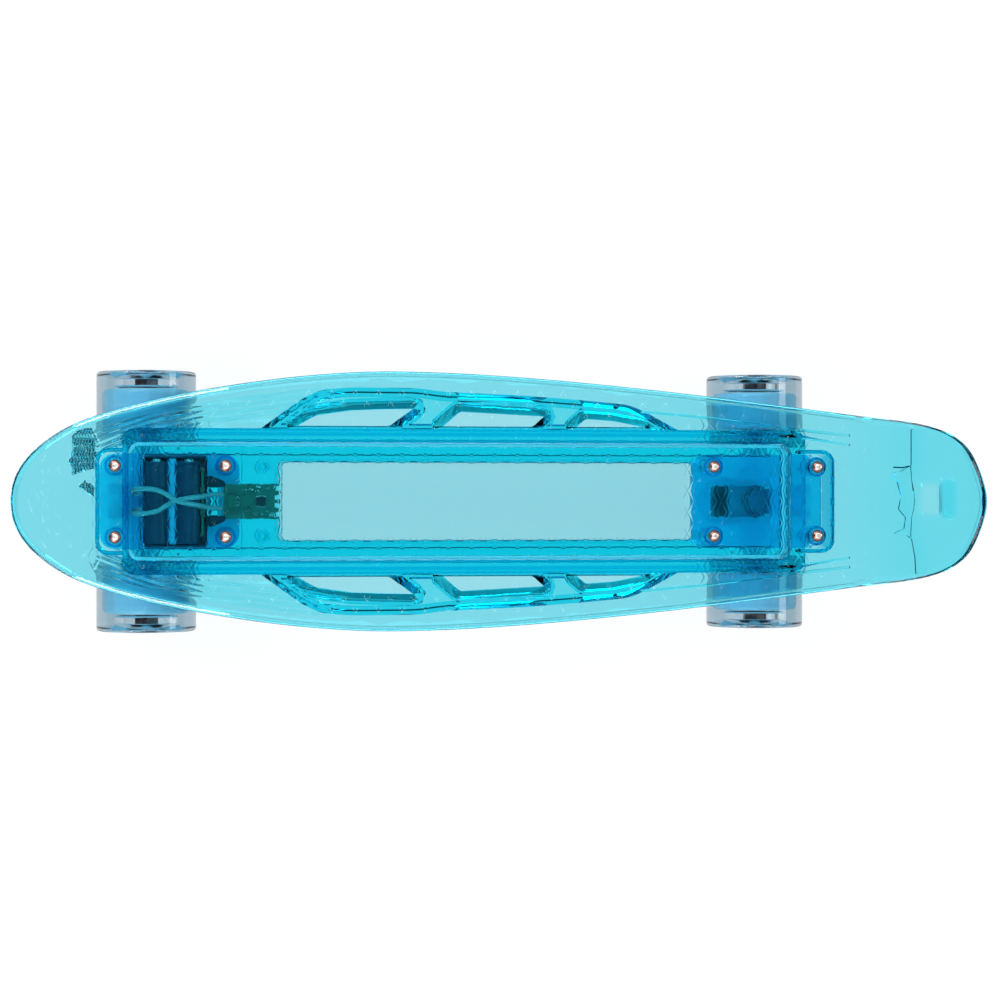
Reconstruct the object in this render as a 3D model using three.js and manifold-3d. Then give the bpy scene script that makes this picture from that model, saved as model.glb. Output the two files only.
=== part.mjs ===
import * as THREE from "three";
import { mergeVertices } from "three/addons/utils/BufferGeometryUtils.js";
import Module from "manifold-3d";

// A transparent cruiser skateboard: a moulded deck with a light box under it, on two trucks.
// Lengths are in millimetres and angles in degrees. X runs from the nose to the tail, Y to the
// right of a rider who faces the nose, and Z up. The origin is on the ground under the middle.

const wasm = await Module();
wasm.setup();
const degree = Math.PI / 180;

// Fits
const fitGap = 0.3;
const cutOverrun = 1;

// Deck board
const deckLength = 571.5;
const deckWidth = 152.2;
const skinThickness = 3.2;
const lipWidth = 2.4;
const lipDepth = 5.4;
const noseRise = 10;
const noseCurveLength = 52;
const tailRise = 31;
const tailCurveLength = 76;

// Cubic arcs of the outline from the nose tip to the tail tip. Each row holds two control points
// and an end point, as shares of the half length and the half width.
const outlineShares = [
  [-1, 0.25, -0.9554, 0.407, -0.9011, 0.535],
  [-0.798, 0.767, -0.455, 1, -0.231, 1],
  [0.07, 1, 0.49, 0.8016, 0.84, 0.637],
  [0.903, 0.602, 0.945, 0.539, 0.9676, 0.4074],
  [0.9816, 0.326, 1, 0.118, 1, 0],
];
const noseProfileShares = [0.45, 0.32, 0.75];
const tailProfileShares = [0.36, 0.68, 0.5];

// Raised side bands with thin windows between them, as shares of the half length and half width
const bandDepth = 10.5;
const windowThickness = 2;
const bandOuterShares = [
  [-0.506, 0.54], [-0.417, 0.787], [-0.38, 0.856], [-0.316, 0.876], [-0.176, 0.874],
  [-0.13, 0.848], [0.034, 0.822], [0.154, 0.791], [0.26, 0.755], [0.294, 0.707], [0.377, 0.54],
];
const bandInnerShares = [
  [-0.44, 0.54], [-0.434, 0.571], [-0.39, 0.664], [-0.316, 0.704], [-0.186, 0.722],
  [-0.097, 0.7], [0.079, 0.665], [0.163, 0.667], [0.239, 0.645], [0.3, 0.583], [0.31, 0.54],
];
const bandRibShares = [
  [[-0.249, 0.54], [-0.142, 0.54], [-0.083, 0.73], [-0.181, 0.73]],
  [[0.05, 0.54], [0.14, 0.54], [0.178, 0.71], [0.1, 0.71]],
];

// Thin stiffening ribs that run from the bands towards the tail
const tailRibWidth = 1.6;
const tailRibDepth = 6.2;
const tailRibShares = [
  [[0.29, 0.7], [0.43, 0.656], [0.61, 0.572], [0.736, 0.522]],
  [[0.6, 0.52], [0.67, 0.484], [0.736, 0.447]],
];

// Light box moulded under the deck, as deep as the battery needs. Its ends are measured from the
// cover, and the pads that carry the trucks from the baseplates.
const boxHalfWidth = 42.6;
const boxWall = 2.4;
const boxCorner = 7;
const boxNoseMargin = 4;
const boxTailMargin = 9.4;
const innerWall = 2;
const padEndMargin = 2;
const padSideMargin = 2.5;
const padWall = 2.4;
const padCorner = 8;
const bossRadius = 6;

// Cover that closes the light box, between the outermost bolt bosses
const coverThickness = 2.6;
const coverHalfWidth = 34.1;
const coverCorner = 6;
const coverNoseMargin = 2.25;
const coverTailMargin = 10.15;
const coverRimWidth = 1.6;
const coverRimHeight = 5;
const coverRimInset = 0.8;
const postRadius = 4;
const postPlace = 54;
const postSpacing = 41;

// Clear light guide in the window of the cover
const windowNosePlace = 64.3;
const windowTailPlace = -41.3;
const windowHalfWidth = 23;
const windowCorner = 3;
const guideLedge = 3;
const guideLedgeThickness = 1.6;

// Circuit board, with its places measured from the front truck centre
const circuitPlace = 31.4;
const circuitLength = 32.6;
const circuitWidth = 20.5;
const circuitThickness = 1.6;
const circuitRibHeight = 3;
const circuitRibWidth = 1.5;
const circuitRibLength = 23.6;
const circuitRibInset = 1.5;
const circuitRibSpacing = 16;
const lampCount = 4;
const lampSize = 2.8;
const lampHeight = 1.4;
const chipLength = 6;
const chipWidth = 5;
const chipHeight = 1.2;
const chipInset = 8;
const plugLength = 5;
const plugWidth = 8;
const plugHeight = 3;
const plugInset = 2;
const switchSize = 5;
const switchHeight = 1;

// Power button in the cover, under the circuit board
const buttonRadius = 4.4;
const buttonProud = 1.1;
const buttonFlangeWidth = 1.6;
const buttonFlangeThickness = 0.7;
const buttonPlace = 53;

// Battery cells in their tray, with places measured from the front truck centre
const trayPlace = -15.3;
const trayLength = 36.7;
const trayHalfWidth = 26.75;
const trayThickness = 0.9;
const trayWall = 1.4;
const trayWallHeight = 9;
const traySlotWidth = 4.4;
const traySlotHalfLength = 21;
const cellRadius = 7;
const cellLength = 48;
const cellNubRadius = 2.75;
const cellNubLength = 1.5;
const cellEdge = 0.6;
const cellHeadroom = 2.2;
const chargeBoardThickness = 1.6;
const chargeBoardLength = 40;
const chargeBoardHeight = 10;
const chargePartLength = 7;
const chargePartHeight = 4;
const chargePartThickness = 1.4;

// Leads from the tray to the circuit board. Points run from the front truck centre and deck top.
const leadRadius = 0.65;
const leadSteps = 32;
const positiveLeadPoints = [
  [-16.3, 4.5, -17.5], [-19.2, 4.8, -17], [-21.6, 5.6, -13], [-21, 6.8, -8], [-16.5, 7.4, -4.8],
  [-8, 6.6, -4.45], [-1, 3.4, -4.45], [4, 0.2, -4.45], [10.6, -1.3, -4.45], [16.5, -2.4, -4.9],
  [22.5, -3.6, -9], [27, -4, -13.6], [31, -4, -16.2],
];
const negativeLeadPoints = [
  [-16.3, -4.5, -17.5], [-19.2, -4.8, -17], [-21.6, -5.6, -13], [-21, -6.8, -8], [-16.5, -7.2, -4.8],
  [-8, -5.8, -4.45], [-2.6, -2.6, -5.2], [1.3, -0.6, -6.9], [5, 0.8, -5.6], [10.6, 1.9, -4.45],
  [16.5, 2.6, -4.9], [22.5, 3.6, -9], [27, 4, -13.6], [31, 4, -16.2],
];

// Bolts that hold the trucks
const boltSpacingAlong = 63.5;
const boltSpacingAcross = 41.3;
const boltRadius = 2.4;
const boltHeadRadius = 3.6;
const boltHeadHeight = 2.4;
const boltRecessDepth = 1.3;
const boltTail = 2;
const boltNutFlats = 8;
const boltNutHeight = 4.6;
const boltHeadShares = [[1, 0.4], [0.78, 0.84], [0.46, 1]];

// Trucks. Places inside a truck are measured from the middle of the baseplate's top face, with
// x towards the end of the board. The baseplates follow their bolts.
const noseOverhang = 90.45;
const tailOverhang = 127.45;
const axleDrop = 52.2;
const axleOffset = 12.5;
const baseEndMargin = 9.25;
const baseSideMargin = 7.85;
const baseThickness = 5.5;
const baseCorner = 10;
const slotWidth = 19;
const slotOpenStart = -28.5;
const slotOpenEnd = -16;
const slotEnd = 9.5;
const slotDepth = 29;

// Kingpin and what sits on it. Heights along the kingpin are measured from its seat.
const kingpinTilt = 25;
const seatX = -2;
const seatZ = -14.5;
const seatThickness = 5;
const seatHalfWidth = 13;
const seatInnerReach = 18;
const seatOuterReach = 11;
const kingpinRadius = 4.75;
const kingpinHeadFlats = 14;
const kingpinHeadHeight = 5.5;
const kingpinEnd = 1.7;
const kingpinNutHeight = 8;
const washerRadius = 13;
const washerThickness = 1.5;
const boardBushingHeight = 13;
const roadBushingHeight = 10.5;
const bushingRadius = 12.5;
const bushingWaist = 0.9;
const bushingWaistShare = 0.5;
const bushingEdge = 1.2;
const roadBushingEndRadius = 9.4;

// Pivot of the hanger in its cup
const pivotX = 26.5;
const pivotZ = -12.5;
const pivotNoseRadius = 5;
const pivotNoseLength = 9;
const cupWall = 1.9;
const cupFloor = 1.5;
const cupMouth = 2;
const pivotBossWall = 2.5;

// Hanger and axle
const ringRadius = 15;
const ringThickness = 6;
const ringPlay = 3.75;
const tubeMiddleRadius = 10;
const tubeEndRadius = 7;
const tubeMiddleHalfLength = 12;
const tubeCollarLength = 6;
const stemHalfWidth = 8;
const armHalfWidth = 10;
const armStartShare = 0.6;
const bushingRelief = 0.7;
const axleRadius = 4;
const axleEndInset = 2.3;
const axleNutFlats = 13;
const axleNutHeight = 7;
const axleChamfer = 0.8;

// Wheels and bearings
const wheelDiameter = 60;
const wheelWidth = 44.5;
const wheelOuterFace = 78.3;
const wheelLipShares = [
  [1, 0.9], [0.984, 0.97], [0.945, 1], [0.9, 0.985], [0.455, 0.785],
];
const recessRadius = 13.2;
const bearingRadius = 11;
const bearingWidth = 7;
const bearingSpacing = 10;
const coreRadius = 8.2;
const seatRecess = 0.6;

// Numbers of facets
const outlineSegments = 6;
const noseSegments = 4;
const tailSegments = 6;
const wheelSides = 24;
const bearingSides = 14;
const tubeSides = 16;
const bushingSides = 14;
const boltSides = 10;
const cellSides = 16;
const leadSides = 8;
const cornerSegments = 3;
const arcSegments = 5;

// Places that follow from the sizes above
const halfLength = deckLength / 2;
const halfWidth = deckWidth / 2;
const wheelRadius = wheelDiameter / 2;
const cellSeatHeight = coverThickness + fitGap + trayThickness + fitGap;
const boxDepth = cellSeatHeight + 2 * cellRadius + cellHeadroom + skinThickness;
const frontTruckPlace = noseOverhang - halfLength;
const rearTruckPlace = halfLength - tailOverhang;
const baseLength = boltSpacingAlong + 2 * baseEndMargin;
const baseWidth = boltSpacingAcross + 2 * baseSideMargin;
const baseTopHeight = wheelRadius + axleDrop;
const deckTopHeight = baseTopHeight + fitGap + boxDepth;
const bossInnerReach = boltSpacingAlong / 2 - bossRadius;
const coverStart = frontTruckPlace - bossInnerReach + coverNoseMargin;
const coverEnd = rearTruckPlace + bossInnerReach - coverTailMargin;
const boxStart = coverStart - boxNoseMargin;
const boxEnd = coverEnd + boxTailMargin;
const padReach = baseLength / 2 + padEndMargin;
const padHalfWidth = baseWidth / 2 + padSideMargin;
const coverTop = coverThickness - boxDepth;
const windowStart = frontTruckPlace + windowNosePlace;
const windowEnd = rearTruckPlace + windowTailPlace;
const holeRadius = boltRadius + fitGap;
const circuitBottom = coverTop + circuitRibHeight + fitGap;
const trayTop = coverTop + fitGap + trayThickness;
const bearingBore = axleRadius + fitGap;
const wheelCentre = wheelOuterFace - wheelWidth / 2;
const bearingCentre = bearingSpacing / 2 + bearingWidth / 2;
const innerBearingFace = wheelCentre - bearingCentre - bearingWidth / 2;
const tubeHalfLength = innerBearingFace - fitGap;

const upward = new THREE.Vector3(0, 1, 0);
const seat = new THREE.Vector3(seatX, 0, seatZ);
const pivot = new THREE.Vector3(pivotX, 0, pivotZ);
const axle = new THREE.Vector3(axleOffset, 0, -axleDrop);
const kingpinDown = new THREE.Vector3(-Math.sin(kingpinTilt * degree), 0, -Math.cos(kingpinTilt * degree));
const kingpinOut = new THREE.Vector3(-kingpinDown.z, 0, kingpinDown.x);

// Distances along the kingpin, from its seat downwards
const boardWasherAt = fitGap;
const boardBushingAt = boardWasherAt + washerThickness + fitGap;
const ringAt = boardBushingAt + boardBushingHeight + fitGap;
const roadBushingAt = ringAt + ringThickness + fitGap;
const roadWasherAt = roadBushingAt + roadBushingHeight + fitGap;
const nutAt = roadWasherAt + washerThickness + fitGap;
const kingpinLength = nutAt + kingpinNutHeight + kingpinEnd;
const ringCentre = onKingpin(ringAt + ringThickness / 2);
const pivotAxis = pivot.clone().sub(ringCentre).normalize();

function onKingpin(distance) {
  return seat.clone().addScaledVector(kingpinDown, distance);
}

function onPivotAxis(distance) {
  return pivot.clone().addScaledVector(pivotAxis, distance);
}

// Geometry helpers

function finish(colour, roughness, metalness, opacity = 1) {
  return new THREE.MeshStandardMaterial({
    color: colour, roughness, metalness, opacity, transparent: opacity < 1,
  });
}

function solidFrom(geometry) {
  const bare = geometry.index ? geometry.toNonIndexed() : geometry.clone();
  bare.deleteAttribute("normal");
  bare.deleteAttribute("uv");
  const merged = mergeVertices(bare);
  return new wasm.Manifold(new wasm.Mesh({
    numProp: 3,
    vertProperties: merged.attributes.position.array,
    triVerts: new Uint32Array(merged.index.array),
  }));
}

function geometryFrom(solid) {
  const { vertProperties, triVerts } = solid.getMesh();
  const geometry = new THREE.BufferGeometry();
  geometry.setAttribute("position", new THREE.BufferAttribute(vertProperties, 3));
  geometry.setIndex(new THREE.BufferAttribute(triVerts, 1));
  geometry.computeVertexNormals();
  return geometry;
}

function named(name, shape, material) {
  const geometry = shape.isBufferGeometry ? shape : geometryFrom(shape);
  const mesh = new THREE.Mesh(geometry, material);
  mesh.name = name;
  return mesh;
}

function unionOf(solids) {
  return solids.reduce((whole, next) => whole.add(next));
}

function plate(shape, low, high) {
  const options = { depth: high - low, bevelEnabled: false, curveSegments: cornerSegments };
  return solidFrom(new THREE.ExtrudeGeometry(shape, options).translate(0, 0, low));
}

// A shape drawn in x and z, thickened to both sides of the middle plane
function sideBlock(shape, halfThickness) {
  const options = { depth: 2 * halfThickness, bevelEnabled: false, curveSegments: arcSegments };
  const geometry = new THREE.ExtrudeGeometry(shape, options);
  return solidFrom(geometry.rotateX(90 * degree).translate(0, halfThickness, 0));
}

function roundedRectangle(start, end, side, corner) {
  const shape = new THREE.Shape();
  shape.moveTo(start + corner, -side);
  shape.lineTo(end - corner, -side);
  shape.absarc(end - corner, corner - side, corner, -90 * degree, 0);
  shape.lineTo(end, side - corner);
  shape.absarc(end - corner, side - corner, corner, 0, 90 * degree);
  shape.lineTo(start + corner, side);
  shape.absarc(start + corner, side - corner, corner, 90 * degree, 180 * degree);
  shape.lineTo(start, corner - side);
  shape.absarc(start + corner, corner - side, corner, 180 * degree, 270 * degree);
  return shape;
}

function block(start, end, side, low, high) {
  const geometry = new THREE.BoxGeometry(end - start, 2 * side, high - low);
  return solidFrom(geometry.translate((start + end) / 2, 0, (low + high) / 2));
}

function blockAt(x, y, low, length, width, height) {
  const geometry = new THREE.BoxGeometry(length, width, height);
  return solidFrom(geometry.translate(x, y, low + height / 2));
}

function rod(from, to, radius, sides = tubeSides) {
  const along = to.clone().sub(from);
  const geometry = new THREE.CylinderGeometry(radius, radius, along.length(), sides);
  geometry.applyQuaternion(new THREE.Quaternion().setFromUnitVectors(upward, along.clone().normalize()));
  const middle = from.clone().add(to).divideScalar(2);
  return solidFrom(geometry.translate(middle.x, middle.y, middle.z));
}

function uprightRod(x, y, low, high, radius, sides = boltSides) {
  return rod(new THREE.Vector3(x, y, low), new THREE.Vector3(x, y, high), radius, sides);
}

// A profile of radius and height turned about the Y axis
function turned(profile, sides) {
  const points = profile.map(([radius, height]) => new THREE.Vector2(radius, height));
  return new THREE.LatheGeometry(points, sides);
}

function ring(inner, outer, low, high, sides) {
  return turned([[inner, low], [outer, low], [outer, high], [inner, high], [inner, low]], sides);
}

function hexagon(flats, low, high) {
  const geometry = new THREE.CylinderGeometry(1, 1, 1, 6);
  const reach = flats / 2 / Math.cos(30 * degree);
  geometry.scale(reach, high - low, reach);
  return geometry.translate(0, (low + high) / 2, 0);
}

// A hexagonal nut round the Y axis, with a plain bore
function nutSolid(flats, low, high, boreRadius) {
  const bore = turned([
    [0, low - cutOverrun], [boreRadius, low - cutOverrun],
    [boreRadius, high + cutOverrun], [0, high + cutOverrun],
  ], tubeSides);
  return solidFrom(hexagon(flats, low, high)).subtract(solidFrom(bore));
}

// The shape round two circles in x and z
function roundTwoCircles(first, firstRadius, second, secondRadius) {
  const along = second.clone().sub(first);
  const heading = Math.atan2(along.z, along.x);
  const lean = Math.acos((firstRadius - secondRadius) / along.length());
  const shape = new THREE.Shape();
  shape.absarc(first.x, first.z, firstRadius, heading + lean, heading - lean + 360 * degree);
  shape.absarc(second.x, second.z, secondRadius, heading - lean, heading + lean);
  return shape;
}

// The points of a line moved to the right of its direction
function offsetLine(points, distance, closed = false) {
  const last = points.length - 1;
  return points.map((place, i) => {
    const before = points[i > 0 ? i - 1 : closed ? last : 0];
    const after = points[i < last ? i + 1 : closed ? 0 : last];
    const along = after.clone().sub(before).normalize();
    return new THREE.Vector2(place.x + along.y * distance, place.y - along.x * distance);
  });
}

function alongKingpin(mesh) {
  mesh.quaternion.setFromUnitVectors(upward, kingpinDown);
  mesh.position.copy(seat);
  return mesh;
}

// Deck

function outlinePoints() {
  const shape = new THREE.Shape();
  shape.moveTo(-halfLength, 0);
  const toSize = (row, side) => row.map((share, i) => share * (i % 2 ? side * halfWidth : halfLength));
  outlineShares.forEach((row) => shape.bezierCurveTo(...toSize(row, 1)));
  const oneSide = shape.getPoints(outlineSegments);
  const otherSide = oneSide.slice(1, -1).reverse().map((point) => new THREE.Vector2(point.x, -point.y));
  return [...oneSide, ...otherSide];
}

// Points of the deck's top line in x and z, with z zero where the deck is flat
function topLine() {
  const [nearNose, farNose, noseLift] = noseProfileShares;
  const noseFlat = noseCurveLength - halfLength;
  const nose = new THREE.CubicBezierCurve(
    new THREE.Vector2(-halfLength, noseRise),
    new THREE.Vector2(nearNose * noseCurveLength * noseLift - halfLength, noseRise * farNose),
    new THREE.Vector2(noseFlat - nearNose * noseCurveLength, 0),
    new THREE.Vector2(noseFlat, 0),
  );
  const [flatShare, steepShare, liftShare] = tailProfileShares;
  const tailFlat = halfLength - tailCurveLength;
  const tail = new THREE.CubicBezierCurve(
    new THREE.Vector2(tailFlat, 0),
    new THREE.Vector2(tailFlat + flatShare * tailCurveLength, 0),
    new THREE.Vector2(tailFlat + steepShare * tailCurveLength, liftShare * tailRise),
    new THREE.Vector2(halfLength, tailRise),
  );
  return [...nose.getPoints(noseSegments), ...tail.getPoints(tailSegments)];
}

// The layer between two depths under the deck's top line, across the whole width
function layer(top, bottom) {
  const line = topLine();
  const points = [...offsetLine(line, top), ...offsetLine(line, bottom).reverse()];
  return sideBlock(new THREE.Shape(points), deckWidth);
}

function pointsFromShares(shares, side) {
  return shares.map(([x, y]) => new THREE.Vector2(x * halfLength, side * y * halfWidth));
}

function shapeFromShares(shares, side) {
  return new THREE.Shape(pointsFromShares(shares, side));
}

function tall(shape) {
  return plate(shape, -boxDepth - lipDepth, tailRise + lipDepth);
}

// A rib of even width along a line of shares
function ribAlong(shares, side, width) {
  const middle = pointsFromShares(shares, side);
  return new THREE.Shape([
    ...offsetLine(middle, width / 2), ...offsetLine(middle, -width / 2).reverse(),
  ]);
}

function sideFeatures(side) {
  const outer = tall(shapeFromShares(bandOuterShares, side));
  const inner = tall(shapeFromShares(bandInnerShares, side));
  const ribs = unionOf(bandRibShares.map((shares) => tall(shapeFromShares(shares, side))));
  const thin = inner.subtract(ribs);
  const raised = outer.subtract(thin).intersect(layer(0, bandDepth));
  const lines = unionOf(tailRibShares.map((shares) => tall(ribAlong(shares, side, tailRibWidth))));
  return { raised: raised.add(lines.intersect(layer(0, tailRibDepth))), thin };
}

function boltPlaces(truckPlace) {
  const places = [];
  for (const along of [-boltSpacingAlong / 2, boltSpacingAlong / 2]) {
    for (const across of [-boltSpacingAcross / 2, boltSpacingAcross / 2]) {
      places.push([truckPlace + along, across]);
    }
  }
  return places;
}

const allBoltPlaces = [...boltPlaces(frontTruckPlace), ...boltPlaces(rearTruckPlace)];

function inCover([x]) {
  return x > coverStart && x < coverEnd;
}

function lightBoxWalls() {
  const between = (shape) => plate(shape, -boxDepth, -skinThickness / 2);
  const outer = between(roundedRectangle(boxStart, boxEnd, boxHalfWidth, boxCorner));
  const outerHollow = tall(roundedRectangle(
    boxStart + boxWall, boxEnd - boxWall, boxHalfWidth - boxWall, boxCorner - boxWall));
  const roomGap = fitGap + innerWall;
  const inner = between(roundedRectangle(
    coverStart - roomGap, coverEnd + roomGap, coverHalfWidth + roomGap, coverCorner + roomGap));
  const room = tall(roundedRectangle(
    coverStart - fitGap, coverEnd + fitGap, coverHalfWidth + fitGap, coverCorner + fitGap));
  const padStart = frontTruckPlace - padReach;
  const padEnd = rearTruckPlace + padReach;
  const pads = between(roundedRectangle(padStart, padEnd, padHalfWidth, padCorner));
  const padHollow = tall(roundedRectangle(
    padStart + padWall, padEnd - padWall, padHalfWidth - padWall, padCorner - padWall));
  const boxArea = tall(roundedRectangle(boxStart, boxEnd, boxHalfWidth, boxCorner));
  const walls = outer.subtract(outerHollow).add(inner).add(pads.subtract(padHollow).subtract(boxArea));
  return { walls: walls.subtract(room), room, boxArea };
}

function makeDeck() {
  const outline = outlinePoints();
  const whole = tall(new THREE.Shape(outline));
  const middle = tall(new THREE.Shape(offsetLine(outline, lipWidth, true)));
  const right = sideFeatures(1);
  const left = sideFeatures(-1);
  const { walls, room, boxArea } = lightBoxWalls();
  const thin = right.thin.add(left.thin).subtract(boxArea);
  const skin = whole.intersect(layer(0, skinThickness)).subtract(
    thin.intersect(layer(windowThickness, lipDepth)));
  const lip = whole.subtract(middle).intersect(layer(0, lipDepth));
  const bosses = unionOf(allBoltPlaces.map(([x, y]) => uprightRod(
    x, y, inCover([x]) ? coverTop + fitGap : -boxDepth, -skinThickness / 2, bossRadius)));
  const holes = unionOf(allBoltPlaces.map(([x, y]) => uprightRod(
    x, y, -boxDepth - cutOverrun, cutOverrun, holeRadius)));
  const sides = right.raised.add(left.raised).subtract(boxArea.intersect(room));
  const body = unionOf([skin, lip, sides, walls, bosses]).subtract(holes);
  return named("deck", body, finish(0x52c5dc, 0.08, 0, 0.55));
}

// Light box fittings

function makeCover() {
  const floor = plate(
    roundedRectangle(coverStart, coverEnd, coverHalfWidth, coverCorner), -boxDepth, coverTop);
  const rimOutside = roundedRectangle(
    coverStart + coverRimInset, coverEnd - coverRimInset, coverHalfWidth - coverRimInset,
    coverCorner - coverRimInset);
  const rimInset = coverRimInset + coverRimWidth;
  const rimInside = roundedRectangle(
    coverStart + rimInset, coverEnd - rimInset, coverHalfWidth - rimInset, coverCorner - rimInset);
  const rimTop = coverTop + coverRimHeight;
  const rim = plate(rimOutside, -boxDepth, rimTop).subtract(plate(rimInside, -boxDepth, rimTop + cutOverrun));
  const posts = [-postSpacing / 2, postSpacing / 2].map((y) => uprightRod(
    frontTruckPlace + postPlace, y, -boxDepth + coverThickness / 2, -skinThickness - fitGap, postRadius));
  const ribStart = frontTruckPlace + circuitPlace + circuitRibInset;
  const supports = [-circuitRibSpacing / 2, circuitRibSpacing / 2].map((y) => blockAt(
    ribStart + circuitRibLength / 2, y, coverTop - coverThickness / 2,
    circuitRibLength, circuitRibWidth, circuitRibHeight + coverThickness / 2));
  const window = plate(
    roundedRectangle(windowStart, windowEnd, windowHalfWidth, windowCorner),
    -boxDepth - cutOverrun, coverTop + cutOverrun);
  const openings = [
    window,
    uprightRod(frontTruckPlace + buttonPlace, 0, -boxDepth - cutOverrun, coverTop + cutOverrun,
      buttonRadius + fitGap, tubeSides),
    ...allBoltPlaces.filter(inCover).map(([x, y]) => uprightRod(
      x, y, -boxDepth - cutOverrun, coverTop + cutOverrun, holeRadius)),
  ];
  const body = unionOf([floor, rim, ...posts, ...supports]).subtract(unionOf(openings));
  return named("box_cover", body, finish(0x1fb0d8, 0.1, 0, 0.6));
}

function makeLightGuide() {
  const insert = roundedRectangle(
    windowStart + fitGap, windowEnd - fitGap, windowHalfWidth - fitGap, windowCorner - fitGap);
  const ledge = roundedRectangle(
    windowStart - guideLedge, windowEnd + guideLedge, windowHalfWidth + guideLedge,
    windowCorner + guideLedge);
  const ledgeBottom = coverTop + fitGap;
  const ledgeTop = ledgeBottom + guideLedgeThickness;
  const body = plate(insert, -boxDepth, ledgeTop).add(plate(ledge, ledgeBottom, ledgeTop));
  return named("light_guide", body, finish(0xd6f3f8, 0.12, 0, 0.45));
}

function makeCircuitBoard() {
  const start = frontTruckPlace + circuitPlace;
  const end = start + circuitLength;
  const top = circuitBottom + circuitThickness;
  const pieces = [block(start, end, circuitWidth / 2, circuitBottom, top)];
  const lampPitch = circuitWidth / lampCount;
  for (let i = 0; i < lampCount; i += 1) {
    const across = (i - (lampCount - 1) / 2) * lampPitch;
    pieces.push(blockAt(end - lampSize / 2, across, top - circuitThickness / 2,
      lampSize, lampSize, circuitThickness / 2 + lampHeight));
  }
  pieces.push(blockAt(end - chipInset - chipLength / 2, 0, top - circuitThickness / 2,
    chipLength, chipWidth, circuitThickness / 2 + chipHeight));
  pieces.push(blockAt(start + plugInset + plugLength / 2, 0, top - circuitThickness / 2,
    plugLength, plugWidth, circuitThickness / 2 + plugHeight));
  pieces.push(blockAt(frontTruckPlace + buttonPlace, 0, circuitBottom - switchHeight,
    switchSize, switchSize, switchHeight + circuitThickness / 2));
  return named("circuit_board", unionOf(pieces), finish(0x0b5a4a, 0.5, 0.1));
}

function makePowerButton() {
  const flangeLow = coverTop + fitGap;
  const flangeHigh = flangeLow + buttonFlangeThickness;
  const flangeRadius = buttonRadius + buttonFlangeWidth;
  const profile = [
    [0, -boxDepth - buttonProud], [buttonRadius, -boxDepth - buttonProud], [buttonRadius, flangeLow],
    [flangeRadius, flangeLow], [flangeRadius, flangeHigh], [0, flangeHigh],
  ];
  const mesh = named("power_button", turned(profile, tubeSides).rotateX(90 * degree),
    finish(0xe8eef0, 0.4, 0));
  mesh.position.x = frontTruckPlace + buttonPlace;
  return mesh;
}

function makeBatteryTray() {
  const start = frontTruckPlace + trayPlace;
  const end = start + trayLength;
  const floor = block(start, end, trayHalfWidth, coverTop + fitGap, trayTop);
  const walls = block(start, end, trayHalfWidth, coverTop + fitGap, trayTop + trayWallHeight).subtract(
    block(start - cutOverrun, end + cutOverrun, trayHalfWidth - trayWall, coverTop,
      trayTop + trayWallHeight + cutOverrun));
  const slotStart = start + fitGap + 2 * cellRadius;
  const slot = block(slotStart, slotStart + traySlotWidth, traySlotHalfLength,
    coverTop, trayTop + cutOverrun);
  return named("battery_tray", floor.add(walls).subtract(slot), finish(0x17384f, 0.45, 0));
}

function makeCell(name, place) {
  const half = cellLength / 2;
  const profile = [
    [0, -half], [cellRadius - cellEdge, -half], [cellRadius, cellEdge - half],
    [cellRadius, half - cellEdge], [cellRadius - cellEdge, half], [cellNubRadius, half],
    [cellNubRadius, half + cellNubLength], [0, half + cellNubLength],
  ];
  const mesh = named(name, turned(profile, cellSides), finish(0x143049, 0.35, 0.1));
  mesh.position.set(place, -cellNubLength / 2, trayTop + fitGap + cellRadius);
  return mesh;
}

function makeChargeBoard(place) {
  const low = trayTop + fitGap;
  const body = blockAt(place, 0, low, chargeBoardThickness, chargeBoardLength, chargeBoardHeight);
  const parts = [-1, 0, 1].map((step) => blockAt(
    place + chargeBoardThickness / 2, step * 2 * chargePartLength, low + chargePartHeight,
    2 * chargePartThickness, chargePartLength, chargePartHeight));
  return named("charge_board", unionOf([body, ...parts]), finish(0x123a44, 0.5, 0.1));
}

function makeLead(name, points, colour) {
  const path = new THREE.CatmullRomCurve3(
    points.map(([x, y, z]) => new THREE.Vector3(frontTruckPlace + x, y, z)));
  const section = new THREE.Shape().absarc(0, 0, leadRadius, 0, 360 * degree);
  const options = { extrudePath: path, steps: leadSteps, curveSegments: leadSides / 2, bevelEnabled: false };
  return named(name, new THREE.ExtrudeGeometry(section, options), finish(colour, 0.3, 0));
}

function makeDeckBolt(name, [x, y]) {
  const nutTop = -boxDepth - fitGap - baseThickness - fitGap;
  const nutBottom = nutTop - boltNutHeight;
  const profile = [
    [0, nutBottom - boltTail], [boltRadius, nutBottom - boltTail], [boltRadius, fitGap],
    [boltHeadRadius, fitGap],
    ...boltHeadShares.map(([radius, height]) => [radius * boltHeadRadius, fitGap + height * boltHeadHeight]),
    [0, fitGap + boltHeadHeight - boltRecessDepth],
  ];
  const body = solidFrom(turned(profile, boltSides)).add(solidFrom(hexagon(boltNutFlats, nutBottom, nutTop)));
  const mesh = named(name, geometryFrom(body).rotateX(90 * degree), finish(0xd9d4cc, 0.22, 1));
  mesh.position.set(x, y, 0);
  return mesh;
}

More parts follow.
